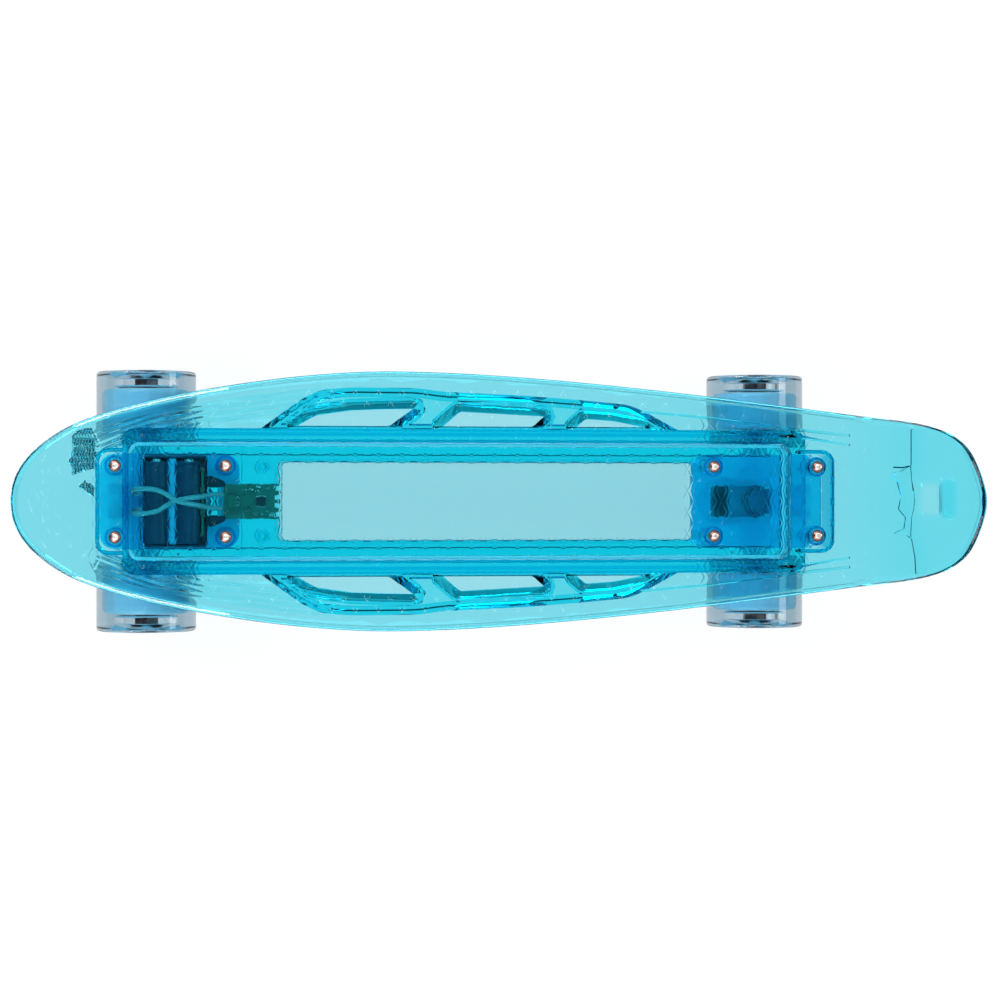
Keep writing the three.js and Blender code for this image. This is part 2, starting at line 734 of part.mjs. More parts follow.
function makeBoard() {
  const firstCell = frontTruckPlace + trayPlace + fitGap + cellRadius;
  const secondCell = firstCell + 2 * cellRadius + traySlotWidth + fitGap;
  const chargePlace = secondCell + cellRadius + fitGap + chargeBoardThickness / 2;
  const board = new THREE.Group();
  board.position.z = deckTopHeight;
  board.add(
    makeDeck(),
    makeCover(),
    makeLightGuide(),
    makeCircuitBoard(),
    makePowerButton(),
    makeBatteryTray(),
    makeCell("battery_cell_1", firstCell),
    makeCell("battery_cell_2", secondCell),
    makeChargeBoard(chargePlace),
    makeLead("lead_positive", positiveLeadPoints, 0x8fb7cc),
    makeLead("lead_negative", negativeLeadPoints, 0x6f93a8),
    ...allBoltPlaces.map((place, i) => makeDeckBolt("deck_bolt_" + (i + 1), place)),
  );
  return board;
}

// Trucks

function point(vector) {
  return new THREE.Vector2(vector.x, vector.z);
}

function makeBaseplate(truck) {
  const halfBase = baseLength / 2;
  const flange = plate(roundedRectangle(-halfBase, halfBase, baseWidth / 2, baseCorner), -baseThickness, 0);
  const seatInner = seat.clone().addScaledVector(kingpinOut, -seatInnerReach);
  const seatOuter = seat.clone().addScaledVector(kingpinOut, seatOuterReach);
  const seatBlock = sideBlock(new THREE.Shape([
    new THREE.Vector2(seatInner.x, -baseThickness / 2), point(seatInner), point(seatOuter),
    new THREE.Vector2(seatOuter.x, -baseThickness / 2),
  ]), seatHalfWidth);
  const cupRadius = pivotNoseRadius + fitGap + cupWall;
  const pocketRadius = cupRadius + fitGap;
  const pocketEnd = pivotNoseRadius + fitGap + cupFloor + fitGap;
  const boss = rod(
    onPivotAxis(-cupMouth), onPivotAxis(pocketEnd + pivotBossWall), pocketRadius + pivotBossWall);
  const pocket = rod(onPivotAxis(-cupMouth - cutOverrun), onPivotAxis(pocketEnd), pocketRadius);
  const upper = onKingpin(-seatThickness);
  const slope = kingpinOut.z / kingpinOut.x;
  const slot = sideBlock(new THREE.Shape([
    new THREE.Vector2(slotOpenStart, cutOverrun),
    new THREE.Vector2(slotOpenStart, -slotDepth),
    new THREE.Vector2(slotOpenEnd, -slotDepth),
    new THREE.Vector2(slotOpenEnd, upper.z + slope * (slotOpenEnd - upper.x)),
    new THREE.Vector2(slotEnd, upper.z + slope * (slotEnd - upper.x)),
    new THREE.Vector2(slotEnd, cutOverrun),
  ]), slotWidth / 2);
  const trim = plate(roundedRectangle(-baseLength, baseLength, baseWidth, baseCorner), 0, baseLength);
  const holes = boltPlaces(0).map(([x, y]) => uprightRod(
    x, y, -baseThickness - cutOverrun, cutOverrun, holeRadius));
  const pinHole = rod(onKingpin(-seatThickness - cutOverrun), onKingpin(cutOverrun), kingpinRadius + fitGap);
  const body = unionOf([flange, seatBlock, boss]).subtract(unionOf([pocket, slot, trim, pinHole, ...holes]));
  return named(truck + "_baseplate", body, finish(0x1186bd, 0.15, 0, 0.7));
}

function makePivotCup(truck) {
  const inner = pivotNoseRadius + fitGap;
  const outer = inner + cupWall;
  const end = inner + cupFloor;
  const profile = [];
  for (let i = 0; i <= cornerSegments; i += 1) {
    const turn = (i / cornerSegments) * 90 * degree;
    profile.push([inner * Math.sin(turn), inner * Math.cos(turn)]);
  }
  profile.push([inner, -cupMouth], [outer, -cupMouth], [outer, end], [0, end]);
  const mesh = named(truck + "_pivot_cup", turned(profile, bushingSides), finish(0x2fa3cf, 0.3, 0, 0.8));
  mesh.quaternion.setFromUnitVectors(upward, pivotAxis);
  mesh.position.copy(pivot);
  return mesh;
}

function makeKingpin(truck) {
  const headLow = -seatThickness - fitGap;
  const shank = solidFrom(turned([
    [0, headLow - kingpinHeadHeight / 2], [kingpinRadius, headLow - kingpinHeadHeight / 2],
    [kingpinRadius, kingpinLength - axleChamfer], [kingpinRadius - axleChamfer, kingpinLength],
    [0, kingpinLength],
  ], tubeSides));
  const head = solidFrom(hexagon(kingpinHeadFlats, headLow - kingpinHeadHeight, headLow));
  return alongKingpin(named(truck + "_kingpin", shank.add(head), finish(0x9aa3a8, 0.3, 1)));
}

function makeKingpinNut(truck) {
  const nut = nutSolid(kingpinHeadFlats, nutAt, nutAt + kingpinNutHeight, kingpinRadius + fitGap);
  return alongKingpin(named(truck + "_kingpin_nut", nut, finish(0xaab2b6, 0.3, 1)));
}

function makeWasher(name, low) {
  const geometry = ring(kingpinRadius + fitGap, washerRadius, low, low + washerThickness, bushingSides);
  return alongKingpin(named(name, geometry, finish(0xb9c0c4, 0.28, 1)));
}

function makeBushing(name, low, height, endRadius) {
  const bore = kingpinRadius + fitGap;
  const middle = (bushingRadius + endRadius) / 2 - bushingWaist;
  const profile = [
    [bore, low], [bushingRadius - bushingEdge, low], [bushingRadius, low + bushingEdge],
    [middle, low + bushingWaistShare * height], [endRadius, low + height - bushingEdge],
    [endRadius - bushingEdge, low + height], [bore, low + height], [bore, low],
  ];
  return alongKingpin(named(name, turned(profile, bushingSides), finish(0x1d2730, 0.45, 0)));
}

function makeHanger(truck) {
  const tube = solidFrom(turned([
    [0, -tubeHalfLength], [tubeEndRadius, -tubeHalfLength],
    [tubeEndRadius, tubeCollarLength - tubeHalfLength], [tubeMiddleRadius, -tubeMiddleHalfLength],
    [tubeMiddleRadius, tubeMiddleHalfLength], [tubeEndRadius, tubeHalfLength - tubeCollarLength],
    [tubeEndRadius, tubeHalfLength], [0, tubeHalfLength],
  ], tubeSides).translate(axle.x, 0, axle.z));
  const stemRoot = onPivotAxis(-pivotNoseLength);
  const stem = sideBlock(roundTwoCircles(stemRoot, pivotNoseRadius, axle, tubeMiddleRadius), stemHalfWidth);
  const noseBall = solidFrom(new THREE.SphereGeometry(pivotNoseRadius, tubeSides, tubeSides / 2)
    .applyQuaternion(new THREE.Quaternion().setFromUnitVectors(upward, pivotAxis))
    .translate(pivot.x, 0, pivot.z));
  const nose = rod(stemRoot, pivot, pivotNoseRadius).add(noseBall);
  const ringBody = rod(onKingpin(ringAt), onKingpin(ringAt + ringThickness), ringRadius);
  const armStart = ringCentre.clone().addScaledVector(kingpinOut, armStartShare * ringRadius);
  const arm = sideBlock(roundTwoCircles(armStart, ringThickness / 2, axle, tubeMiddleRadius), armHalfWidth);
  const reliefRadius = bushingRadius + bushingRelief;
  const relief = [
    rod(onKingpin(0), onKingpin(ringAt), reliefRadius),
    rod(onKingpin(ringAt + ringThickness), onKingpin(nutAt), reliefRadius),
    rod(onKingpin(0), onKingpin(nutAt), kingpinRadius + ringPlay),
    rod(new THREE.Vector3(axle.x, -wheelOuterFace, axle.z), new THREE.Vector3(axle.x, wheelOuterFace, axle.z),
      axleRadius + fitGap),
  ];
  const body = unionOf([tube, stem, nose, ringBody, arm]).subtract(unionOf(relief));
  return named(truck + "_hanger", body, finish(0x1691c6, 0.15, 0, 0.75));
}

function makeAxle(truck) {
  const end = wheelOuterFace - axleEndInset;
  const profile = [
    [0, -end], [axleRadius - axleChamfer, -end], [axleRadius, axleChamfer - end],
    [axleRadius, end - axleChamfer], [axleRadius - axleChamfer, end], [0, end],
  ];
  const mesh = named(truck + "_axle", turned(profile, tubeSides), finish(0xa4acb0, 0.28, 1));
  mesh.position.copy(axle);
  return mesh;
}

// Wheels. Heights run along the axle from the middle of the wheel, outwards positive.

function makeWheel(name) {
  const toFlats = wheelRadius / Math.cos(Math.PI / wheelSides);
  const lip = wheelLipShares.map(([radius, out]) => [radius * toFlats, out * wheelWidth / 2]);
  const seatRadius = bearingRadius + fitGap;
  const seatStart = bearingSpacing / 2 - fitGap;
  const seatEnd = bearingSpacing / 2 + bearingWidth + seatRecess;
  const half = [...lip, [recessRadius, seatEnd + fitGap], [seatRadius, seatEnd], [seatRadius, seatStart],
    [coreRadius, seatStart]];
  const otherHalf = half.map(([radius, out]) => [radius, -out]).reverse();
  const profile = [...half, ...otherHalf, half[0]];
  const geometry = turned(profile, wheelSides).rotateY(Math.PI / wheelSides);
  return named(name, geometry, finish(0x7cc9dd, 0.18, 0, 0.6));
}

function makeBearing(name, centre) {
  const geometry = ring(bearingBore, bearingRadius, -bearingWidth / 2, bearingWidth / 2, bearingSides);
  const mesh = named(name, geometry, finish(0x8d979c, 0.3, 1));
  mesh.position.y = centre;
  return mesh;
}

function makeAxleNut(name) {
  const low = bearingCentre + bearingWidth / 2 + fitGap;
  const nut = nutSolid(axleNutFlats, low, low + axleNutHeight, bearingBore);
  return named(name, nut, finish(0x9ba4a9, 0.3, 1));
}

function makeWheelSet(prefix, flipped) {
  const wheelSet = new THREE.Group();
  wheelSet.add(
    makeWheel(prefix + "_wheel"),
    makeBearing(prefix + "_bearing_outer", bearingCentre),
    makeBearing(prefix + "_bearing_inner", -bearingCentre),
    makeAxleNut(prefix + "_axle_nut"),
  );
  wheelSet.position.set(axle.x, flipped ? -wheelCentre : wheelCentre, axle.z);
  wheelSet.rotation.z = flipped ? Math.PI : 0;
  return wheelSet;
}

function makeTruck(truck, place, flipped) {
  const group = new THREE.Group();
  group.add(
    makeBaseplate(truck),
    makePivotCup(truck),
    makeKingpin(truck),
    makeKingpinNut(truck),
    makeWasher(truck + "_washer_board", boardWasherAt),
    makeWasher(truck + "_washer_road", roadWasherAt),
    makeBushing(truck + "_bushing_board", boardBushingAt, boardBushingHeight, bushingRadius),
    makeBushing(truck + "_bushing_road", roadBushingAt, roadBushingHeight, roadBushingEndRadius),
    makeHanger(truck),
    makeAxle(truck),
    makeWheelSet(truck + (flipped ? "_left" : "_right"), false),
    makeWheelSet(truck + (flipped ? "_right" : "_left"), true),
  );
  group.position.set(place, 0, baseTopHeight);
  group.rotation.z = flipped ? Math.PI : 0;
  return group;
}

const cruiser = new THREE.Group();
cruiser.add(
  makeBoard(), makeTruck("front", frontTruckPlace, true), makeTruck("rear", rearTruckPlace, false));

export default cruiser;
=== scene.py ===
import math
import random

import bmesh
import bpy
import numpy as np
from mathutils import Matrix, Vector
from mathutils.geometry import delaunay_2d_cdt


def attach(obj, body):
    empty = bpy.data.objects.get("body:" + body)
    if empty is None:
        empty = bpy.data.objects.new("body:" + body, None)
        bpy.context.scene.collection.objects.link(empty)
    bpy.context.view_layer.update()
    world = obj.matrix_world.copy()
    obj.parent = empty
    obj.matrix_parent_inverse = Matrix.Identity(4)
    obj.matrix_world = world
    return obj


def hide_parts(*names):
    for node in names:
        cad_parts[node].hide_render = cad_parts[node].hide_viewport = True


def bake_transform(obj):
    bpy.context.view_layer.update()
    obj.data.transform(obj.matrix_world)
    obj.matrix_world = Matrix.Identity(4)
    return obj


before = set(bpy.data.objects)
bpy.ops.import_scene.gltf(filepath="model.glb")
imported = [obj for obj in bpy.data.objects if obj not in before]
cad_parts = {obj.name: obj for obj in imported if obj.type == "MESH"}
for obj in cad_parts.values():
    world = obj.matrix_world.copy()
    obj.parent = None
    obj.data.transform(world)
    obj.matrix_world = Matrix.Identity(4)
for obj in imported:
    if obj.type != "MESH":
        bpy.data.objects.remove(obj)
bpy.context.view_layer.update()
print("frame loaded")

# Sizes are written in millimetres in the frame's own axes, and become metres when a mesh is made.
mm = 0.001
across = Vector((0, 1, 0))

# Camera

viewCamera = {"lens": 92.1, "sensor": 36.0, "place": (-0.2335, 0.0, 1.595), "lean": 8.81, "shiftUp": 0.0014,
              "near": 0.05, "far": 40.0}
cameraData = bpy.data.cameras.new("viewCamera")
cameraData.lens = viewCamera["lens"]
cameraData.sensor_width = viewCamera["sensor"]
cameraData.shift_y = viewCamera["shiftUp"]
cameraData.clip_start, cameraData.clip_end = viewCamera["near"], viewCamera["far"]
camera = bpy.data.objects.new("viewCamera", cameraData)
bpy.context.scene.collection.objects.link(camera)
lean = math.radians(viewCamera["lean"])
cameraAxes = Matrix(((math.cos(lean), 0, -math.sin(lean)), (0, 1, 0), (math.sin(lean), 0, math.cos(lean))))
camera.matrix_world = Matrix.Translation(viewCamera["place"]) @ cameraAxes.to_4x4()
bpy.context.scene.camera = camera
print("camera placed")


# Node helpers

def feed(tree, socket, value):
    # a value is another node's output, or else a plain number, colour or vector
    if isinstance(value, bpy.types.NodeSocket):
        tree.links.new(value, socket)
    else:
        socket.default_value = value


def addNode(tree, kind, place=(0, 0), **values):
    node = tree.nodes.new(kind)
    node.location = place
    for key, value in values.items():
        if hasattr(node, key):
            setattr(node, key, value)
        else:
            feed(tree, node.inputs[key.replace("_", " ")], value)
    return node


def mathNode(tree, operation, first, second):
    node = addNode(tree, "ShaderNodeMath", operation=operation)
    feed(tree, node.inputs[0], first)
    feed(tree, node.inputs[1], second)
    return node.outputs[0]


def mixColours(tree, share, first, second):
    mix = addNode(tree, "ShaderNodeMix", data_type="RGBA")
    for index, value in ((0, share), (6, first), (7, second)):
        feed(tree, mix.inputs[index], value)
    return mix.outputs[2]


def mixShaders(tree, share, first, second, place):
    mix = addNode(tree, "ShaderNodeMixShader", place)
    for socket, value in zip(mix.inputs, (share, first, second)):
        tree.links.new(value, socket)
    return mix.outputs[0]


def newGroup(name, inputs, outputs):
    tree = bpy.data.node_groups.new(name, "ShaderNodeTree")
    kinds = {"f": "NodeSocketFloat", "c": "NodeSocketColor", "v": "NodeSocketVector"}
    for label, kind, value in inputs:
        tree.interface.new_socket(label, in_out="INPUT", socket_type=kinds[kind]).default_value = value
    for label, kind in outputs:
        tree.interface.new_socket(label, in_out="OUTPUT", socket_type=kinds[kind])
    start, end = tree.nodes.new("NodeGroupInput"), tree.nodes.new("NodeGroupOutput")
    place = tree.nodes.new("ShaderNodeTexCoord").outputs["Object"]
    return tree, start.outputs, end.inputs, place


# Shared effects

def makeMouldGroup():
    # slow ripples, fine grain and hair scratches of a moulded plastic skin
    inputs = [("Ripple Scale", "f", 90.0), ("Ripple", "f", 0.5), ("Grain", "f", 0.1), ("Scratch", "f", 0.0),
              ("Smooth", "f", 0.02), ("Dull", "f", 0.06)]
    tree, start, end, place = newGroup("mouldedSkin", inputs, [("Height", "f"), ("Roughness", "f")])
    ripple = addNode(tree, "ShaderNodeTexNoise", Vector=place, Scale=start["Ripple Scale"], Detail=2.0,
                     Roughness=0.4).outputs[0]
    grain = addNode(tree, "ShaderNodeTexNoise", Vector=place, Scale=2600.0, Detail=2.0).outputs[0]
    stretch = addNode(tree, "ShaderNodeMapping", Vector=place, Rotation=(0.0, 0.0, 0.5), Scale=(60.0, 2400.0, 900.0))
    hair = addNode(tree, "ShaderNodeTexNoise", Vector=stretch.outputs[0], Scale=1.0, Detail=3.0, Roughness=0.7)
    worn = mathNode(tree, "MULTIPLY", mathNode(tree, "GREATER_THAN", hair.outputs[0], 0.7), start["Scratch"])
    height = mathNode(tree, "MULTIPLY", ripple, start["Ripple"])
    height = mathNode(tree, "ADD", height, mathNode(tree, "MULTIPLY", grain, start["Grain"]))
    tree.links.new(mathNode(tree, "SUBTRACT", height, worn), end["Height"])
    spread = mathNode(tree, "ADD", mathNode(tree, "MULTIPLY", ripple, start["Dull"]), worn)
    tree.links.new(mathNode(tree, "ADD", start["Smooth"], spread), end["Roughness"])
    return tree


def makeMetalGroup():
    # plated steel: cloudy plating over a fine grain
    inputs = [("Colour", "c", (0.7, 0.7, 0.7, 1)), ("Tarnish", "c", (0.4, 0.38, 0.35, 1)), ("Cloud", "f", 0.3),
              ("Smooth", "f", 0.18)]
    tree, start, end, place = newGroup("platedMetal", inputs, [("Colour", "c"), ("Roughness", "f"), ("Height", "f")])
    cloud = addNode(tree, "ShaderNodeTexNoise", Vector=place, Scale=320.0, Detail=5.0, Roughness=0.6).outputs[0]
    fine = addNode(tree, "ShaderNodeTexNoise", Vector=place, Scale=3000.0, Detail=3.0, Roughness=0.7).outputs[0]
    mask = addNode(tree, "ShaderNodeMapRange", Value=cloud, From_Min=0.45, From_Max=0.75)
    amount = mathNode(tree, "MULTIPLY", mask.outputs[0], start["Cloud"])
    tree.links.new(mixColours(tree, amount, start["Colour"], start["Tarnish"]), end["Colour"])
    rough = mathNode(tree, "ADD", start["Smooth"], mathNode(tree, "MULTIPLY", amount, 0.3))
    tree.links.new(mathNode(tree, "ADD", rough, mathNode(tree, "MULTIPLY", fine, 0.08)), end["Roughness"])
    tree.links.new(fine, end["Height"])
    return tree


def makeSpeckGroup():
    # two tones of one colour in soft patches with fine specks
    inputs = [("Light", "c", (0.5, 0.5, 0.5, 1)), ("Dark", "c", (0.4, 0.4, 0.4, 1)), ("Scale", "f", 150.0),
              ("Smooth", "f", 0.4), ("Stretch", "v", (1, 1, 1))]
    tree, start, end, place = newGroup("twoToneSpecks", inputs, [("Colour", "c"), ("Roughness", "f"), ("Height", "f")])
    drawn = addNode(tree, "ShaderNodeMapping", Vector=place, Scale=start["Stretch"])
    patch = addNode(tree, "ShaderNodeTexNoise", Vector=drawn.outputs[0], Scale=start["Scale"], Detail=6.0,
                    Roughness=0.65).outputs[0]
    speck = addNode(tree, "ShaderNodeTexVoronoi", Vector=place, Scale=2200.0)
    tree.links.new(mixColours(tree, patch, start["Light"], start["Dark"]), end["Colour"])
    rough = mathNode(tree, "ADD", start["Smooth"], mathNode(tree, "MULTIPLY", patch, 0.2))
    tree.links.new(rough, end["Roughness"])
    height = mathNode(tree, "ADD", patch, mathNode(tree, "MULTIPLY", speck.outputs[0], 0.4))
    tree.links.new(height, end["Height"])
    return tree


mouldGroup, metalGroup, speckGroup = makeMouldGroup(), makeMetalGroup(), makeSpeckGroup()


# Finishes

def emptyMaterial(name):
    material = bpy.data.materials.new(name)
    material.use_nodes = True
    material.node_tree.nodes.clear()
    return material, material.node_tree, addNode(material.node_tree, "ShaderNodeOutputMaterial", (600, 0))


plastic = {"ior": 1.49, "relief": 0.00004, "deepest": 0.98}


def clearPlastic(name, takes, tint=(1, 1, 1), clear=1.0, **skin):
    # takes is what a metre of it absorbs of red, green and blue, and tint is what its two skins let through
    material, tree, out = emptyMaterial(name)
    surface = addNode(tree, "ShaderNodeGroup", (-400, 0), node_tree=mouldGroup, **skin).outputs
    bump = addNode(tree, "ShaderNodeBump", (-200, -200), Strength=1.0, Distance=plastic["relief"],
                   Height=surface["Height"])
    body = addNode(tree, "ShaderNodeBsdfPrincipled", (0, 100), IOR=plastic["ior"], Transmission_Weight=clear,
                   Base_Color=(*tint, 1), Roughness=surface["Roughness"], Normal=bump.outputs[0])
    through = addNode(tree, "ShaderNodeBsdfTransparent", (0, -300), Color=(*(math.sqrt(c) for c in tint), 1))
    shadow = addNode(tree, "ShaderNodeLightPath", (0, 400)).outputs["Is Shadow Ray"]
    mix = mixShaders(tree, shadow, body.outputs[0], through.outputs[0], (300, 0))
    tree.links.new(mix, out.inputs["Surface"])
    density = max(takes)
    colour = tuple(1 - plastic["deepest"] * share / density for share in takes)
    absorb = addNode(tree, "ShaderNodeVolumeAbsorption", (300, -300), Density=density / plastic["deepest"],
                     Color=(*colour, 1))
    tree.links.new(absorb.outputs[0], out.inputs["Volume"])
    return material


def solidFinish(name, group, relief, strength, skin, **shader):
    # a finish that lets no light through: a group's colour, roughness and relief on one shader
    material, tree, out = emptyMaterial(name)
    surface = addNode(tree, "ShaderNodeGroup", (-400, 0), node_tree=group, **skin).outputs
    bump = addNode(tree, "ShaderNodeBump", (-200, -200), Strength=strength, Distance=relief,
                   Height=surface["Height"])
    body = addNode(tree, "ShaderNodeBsdfPrincipled", Base_Color=surface["Colour"],
                   Roughness=surface["Roughness"], Normal=bump.outputs[0], **shader)
    tree.links.new(body.outputs[0], out.inputs["Surface"])
    return material


def metal(name, colour, tarnish, smooth, cloud=0.4):
    skin = {"Colour": (*colour, 1), "Tarnish": (*tarnish, 1), "Smooth": smooth, "Cloud": cloud}
    return solidFinish(name, metalGroup, 0.000004, 0.6, skin, Metallic=1.0)


def opaque(name, light, dark, smooth, scale=150.0, relief=0.00002, coat=0.0, stretch=(1, 1, 1)):
    skin = {"Light": (*light, 1), "Dark": (*dark, 1), "Smooth": smooth, "Scale": scale, "Stretch": stretch}
    return solidFinish(name, speckGroup, relief, 0.5, skin, Coat_Weight=coat)


truckSkin = {"Ripple": 0.8, "Ripple_Scale": 160.0, "Grain": 0.05, "Smooth": 0.06, "Dull": 0.06}
finishes = {
    "deck": clearPlastic("clearAquaDeck", (360, 25, 8), (0.71, 0.8, 0.87), Ripple=1.1, Ripple_Scale=110.0,
                         Grain=0.02, Scratch=0.02, Smooth=0.0, Dull=0.03),
    "cover": clearPlastic("clearBlueCover", (1100, 12, 6), (0.4, 0.87, 0.985), Ripple=0.5, Ripple_Scale=120.0,
                          Grain=0.03, Smooth=0.01, Dull=0.04),
    "guide": clearPlastic("paleLightGuide", (10, 4, 3), Ripple=0.3, Ripple_Scale=70.0, Grain=0.04, Smooth=0.02,
                          Dull=0.04),
    "truck": clearPlastic("blueTruckPlastic", (400, 30, 14), (0.16, 0.78, 0.86), clear=0.55, **truckSkin),
    "hanger": clearPlastic("clearHangerPlastic", (400, 30, 14), (0.3, 0.84, 0.9), clear=0.9, **truckSkin),
    # a darker tint for the floor of the baseplate's slot: painted shade in the recess
    "seat": clearPlastic("slotFloorPaintedShade", (400, 60, 40), (0.08, 0.5, 0.56), clear=0.4, **truckSkin),
    "tyre": clearPlastic("clearUrethane", (20, 14, 11), (0.92, 0.955, 0.97), Ripple=0.5, Ripple_Scale=90.0,
                         Grain=0.04, Smooth=0.01, Dull=0.05),
    "sleeve": clearPlastic("milkyLeadSleeve", (60, 40, 34), (0.6, 0.66, 0.68), clear=0.7, Ripple=0.8,
                           Ripple_Scale=500.0, Grain=0.0, Smooth=0.08, Dull=0.1),
    "core": opaque("skyBlueWheelCore", (0.3, 0.7, 0.86), (0.11, 0.48, 0.72), 0.3, stretch=(0.1, 1, 0.1), coat=0.2),
    "steel": metal("zincSteel", (0.72, 0.73, 0.74), (0.5, 0.48, 0.44), 0.2),
    "darkSteel": metal("groundBearingSteel", (0.5, 0.5, 0.52), (0.24, 0.23, 0.22), 0.24, cloud=0.7),
    # bolt steel, and on the bolt heads' centres a painted highlight
    "bright": metal("boltSteelAndPaintedHighlight", (0.97, 0.94, 0.9), (0.9, 0.84, 0.8), 0.3, cloud=0.2),
    # a rosy plating tint, darker on the bolt heads' rings as a painted reflection
    "rosy": metal("rosyPlatingAndPaintedReflection", (0.56, 0.25, 0.2), (0.36, 0.14, 0.12), 0.22, cloud=0.5),
    # dark steel, and on the bolt heads' brims painted shade
    "black": metal("blackSteelAndPaintedShade", (0.1, 0.11, 0.13), (0.05, 0.055, 0.065), 0.3, cloud=0.5),
    "nut": metal("brownedAxleNut", (0.1, 0.1, 0.115), (0.4, 0.24, 0.18), 0.28, cloud=0.7),
    "copper": metal("copperWire", (0.78, 0.42, 0.27), (0.45, 0.2, 0.12), 0.3),
    "battery": opaque("navyCellWrap", (0.012, 0.045, 0.085), (0.008, 0.028, 0.06), 0.28, coat=0.3),
    "tray": opaque("darkTrayPlastic", (0.02, 0.09, 0.16), (0.012, 0.06, 0.11), 0.4),
    "divider": opaque("blueTrayDivider", (0.1, 0.6, 0.86), (0.06, 0.5, 0.78), 0.35),
    "seal": opaque("paleCoverSeal", (0.97, 0.86, 0.82), (0.9, 0.78, 0.74), 0.45, scale=260.0),
    "foam": opaque("blackFoam", (0.016, 0.03, 0.05), (0.008, 0.014, 0.022), 0.8, scale=700.0, relief=0.0001),
    "board": opaque("greenCircuitMask", (0.02, 0.135, 0.085), (0.012, 0.085, 0.06), 0.3, scale=400.0, coat=0.4),
    "chip": opaque("blackChipResin", (0.02, 0.02, 0.022), (0.012, 0.012, 0.014), 0.5, scale=800.0),
    "lamp": opaque("paleLampBody", (0.82, 0.82, 0.74), (0.72, 0.72, 0.62), 0.35, scale=500.0),
    "button": opaque("satinButton", (0.8, 0.84, 0.86), (0.74, 0.79, 0.82), 0.35),
    "rubber": opaque("darkBushing", (0.03, 0.045, 0.06), (0.018, 0.028, 0.04), 0.42, relief=0.00003),
}
print("finishes ready")


# Mesh helpers

def linked(name, mesh):
    piece = bpy.data.objects.new(name, mesh)
    bpy.context.scene.collection.objects.link(piece)
    return piece


def meshFrom(name, points, faces):
    mesh = bpy.data.meshes.new(name)
    mesh.from_pydata([tuple(c * mm for c in point) for point in points], [], [tuple(f) for f in faces])
    shape = bmesh.new()
    shape.from_mesh(mesh)
    loose = [v for v in shape.verts if not v.link_faces]
    bmesh.ops.delete(shape, geom=loose, context="VERTS")
    bmesh.ops.recalc_face_normals(shape, faces=shape.faces)
    shape.to_mesh(mesh)
    shape.free()
    return mesh


def smoothShade(piece, angle, weighted=True):
    mesh = piece.data
    mesh.polygons.foreach_set("use_smooth", [True] * len(mesh.polygons))
    mesh.set_sharp_from_angle(angle=math.radians(angle))
    if weighted:
        modifier = piece.modifiers.new("faceWeights", "WEIGHTED_NORMAL")
        modifier.keep_sharp = True
        modifier.weight = 80
    mesh.update()


def dress(piece, body, nodes, slotName, *materials):
    for material in materials:
        piece.data.materials.append(material)
    if isinstance(body, tuple):
        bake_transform(piece)
    else:
        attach(piece, body)
    if nodes:
        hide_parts(*nodes)


def placedCopy(name, mesh, place):
    own = mesh.copy()
    own.transform(place)
    return linked(name, own)


def keptMesh(piece):
    mesh = piece.data
    bpy.data.objects.remove(piece)
    return mesh


def joined(name, pieces):
    shape = bmesh.new()
    for piece in pieces:
        shape.from_mesh(keptMesh(piece))
    mesh = bpy.data.meshes.new(name)
    shape.to_mesh(mesh)
    shape.free()
    return mesh


def applied(piece):
    bpy.context.view_layer.update()
    graph = bpy.context.evaluated_depsgraph_get()
    mesh = bpy.data.meshes.new_from_object(piece.evaluated_get(graph))
    piece.modifiers.clear()
    old = piece.data
    piece.data = mesh
    bpy.data.meshes.remove(old)
    return piece


def carved(target, others, operation):
    for other in others:
        modifier = target.modifiers.new(operation, "BOOLEAN")
        modifier.operation = operation
        modifier.solver = "EXACT"
        modifier.object = other
    applied(target)
    for other in others:
        bpy.data.objects.remove(other)
    return target


def softened(piece, voxel):
    # a voxel skin with its edges eased, as on a casting
    remesh = piece.modifiers.new("skin", "REMESH")
    remesh.mode = "VOXEL"
    remesh.voxel_size = voxel * mm
    smooth = piece.modifiers.new("soften", "SMOOTH")
    smooth.factor, smooth.iterations = 0.5, 3
    return applied(piece)


def tubeFaces(rings, sides):
    # rings of points joined into a tube, closed at both ends
    faces = [tuple(range(sides)), tuple(range((rings - 1) * sides, rings * sides))]
    return faces + [(a + k, a + (k + 1) % sides, a + sides + (k + 1) % sides, a + sides + k)
                    for a in range(0, (rings - 1) * sides, sides) for k in range(sides)]


def lathe(name, origin, direction, profile, sides=48):
    # profile rows are distance along the direction and radius; without a row on the axis it closes into a ring
    direction = Vector(direction).normalized()
    first = direction.orthogonal().normalized()
    if abs(direction.y) > 0.99:
        first = Vector((0, 0, 1))
    second = direction.cross(first)
    points, rings = [], []
    for distance, radius in profile:
        base = Vector(origin) + direction * distance
        if radius < 1e-6:
            rings.append([len(points)])
            points.append(tuple(base))
            continue
        rings.append(list(range(len(points), len(points) + sides)))
        for i in range(sides):
            turn = 2 * math.pi * i / sides
            points.append(tuple(base + first * (radius * math.cos(turn)) + second * (radius * math.sin(turn))))
    faces = []
    closed = profile[0][1] > 1e-6 or profile[-1][1] > 1e-6
    for low, high in zip(rings, rings[1:] + rings[:1] if closed else rings[1:]):
        for i in range(sides):
            j = (i + 1) % sides
            corners = [low[i % len(low)], low[j % len(low)], high[j % len(high)], high[i % len(high)]]
            corners = list(dict.fromkeys(corners))
            if len(corners) > 2:
                faces.append(corners)
    return linked(name, meshFrom(name, points, faces))


def prism(name, outline, low, high, plane="xy"):
    # an outline in x and y raised in z, or in x and z thickened in y
    points = [(a, b, level) if plane == "xy" else (a, level, b) for level in (low, high) for a, b in outline]
    return linked(name, meshFrom(name, points, tubeFaces(2, len(outline))))


def rod(name, start, end, radius, sides=40):
    start, end = Vector(start), Vector(end)
    length = (end - start).length
    return lathe(name, start, end - start, [(0, 0), (0, radius), (length, radius), (length, 0)], sides)


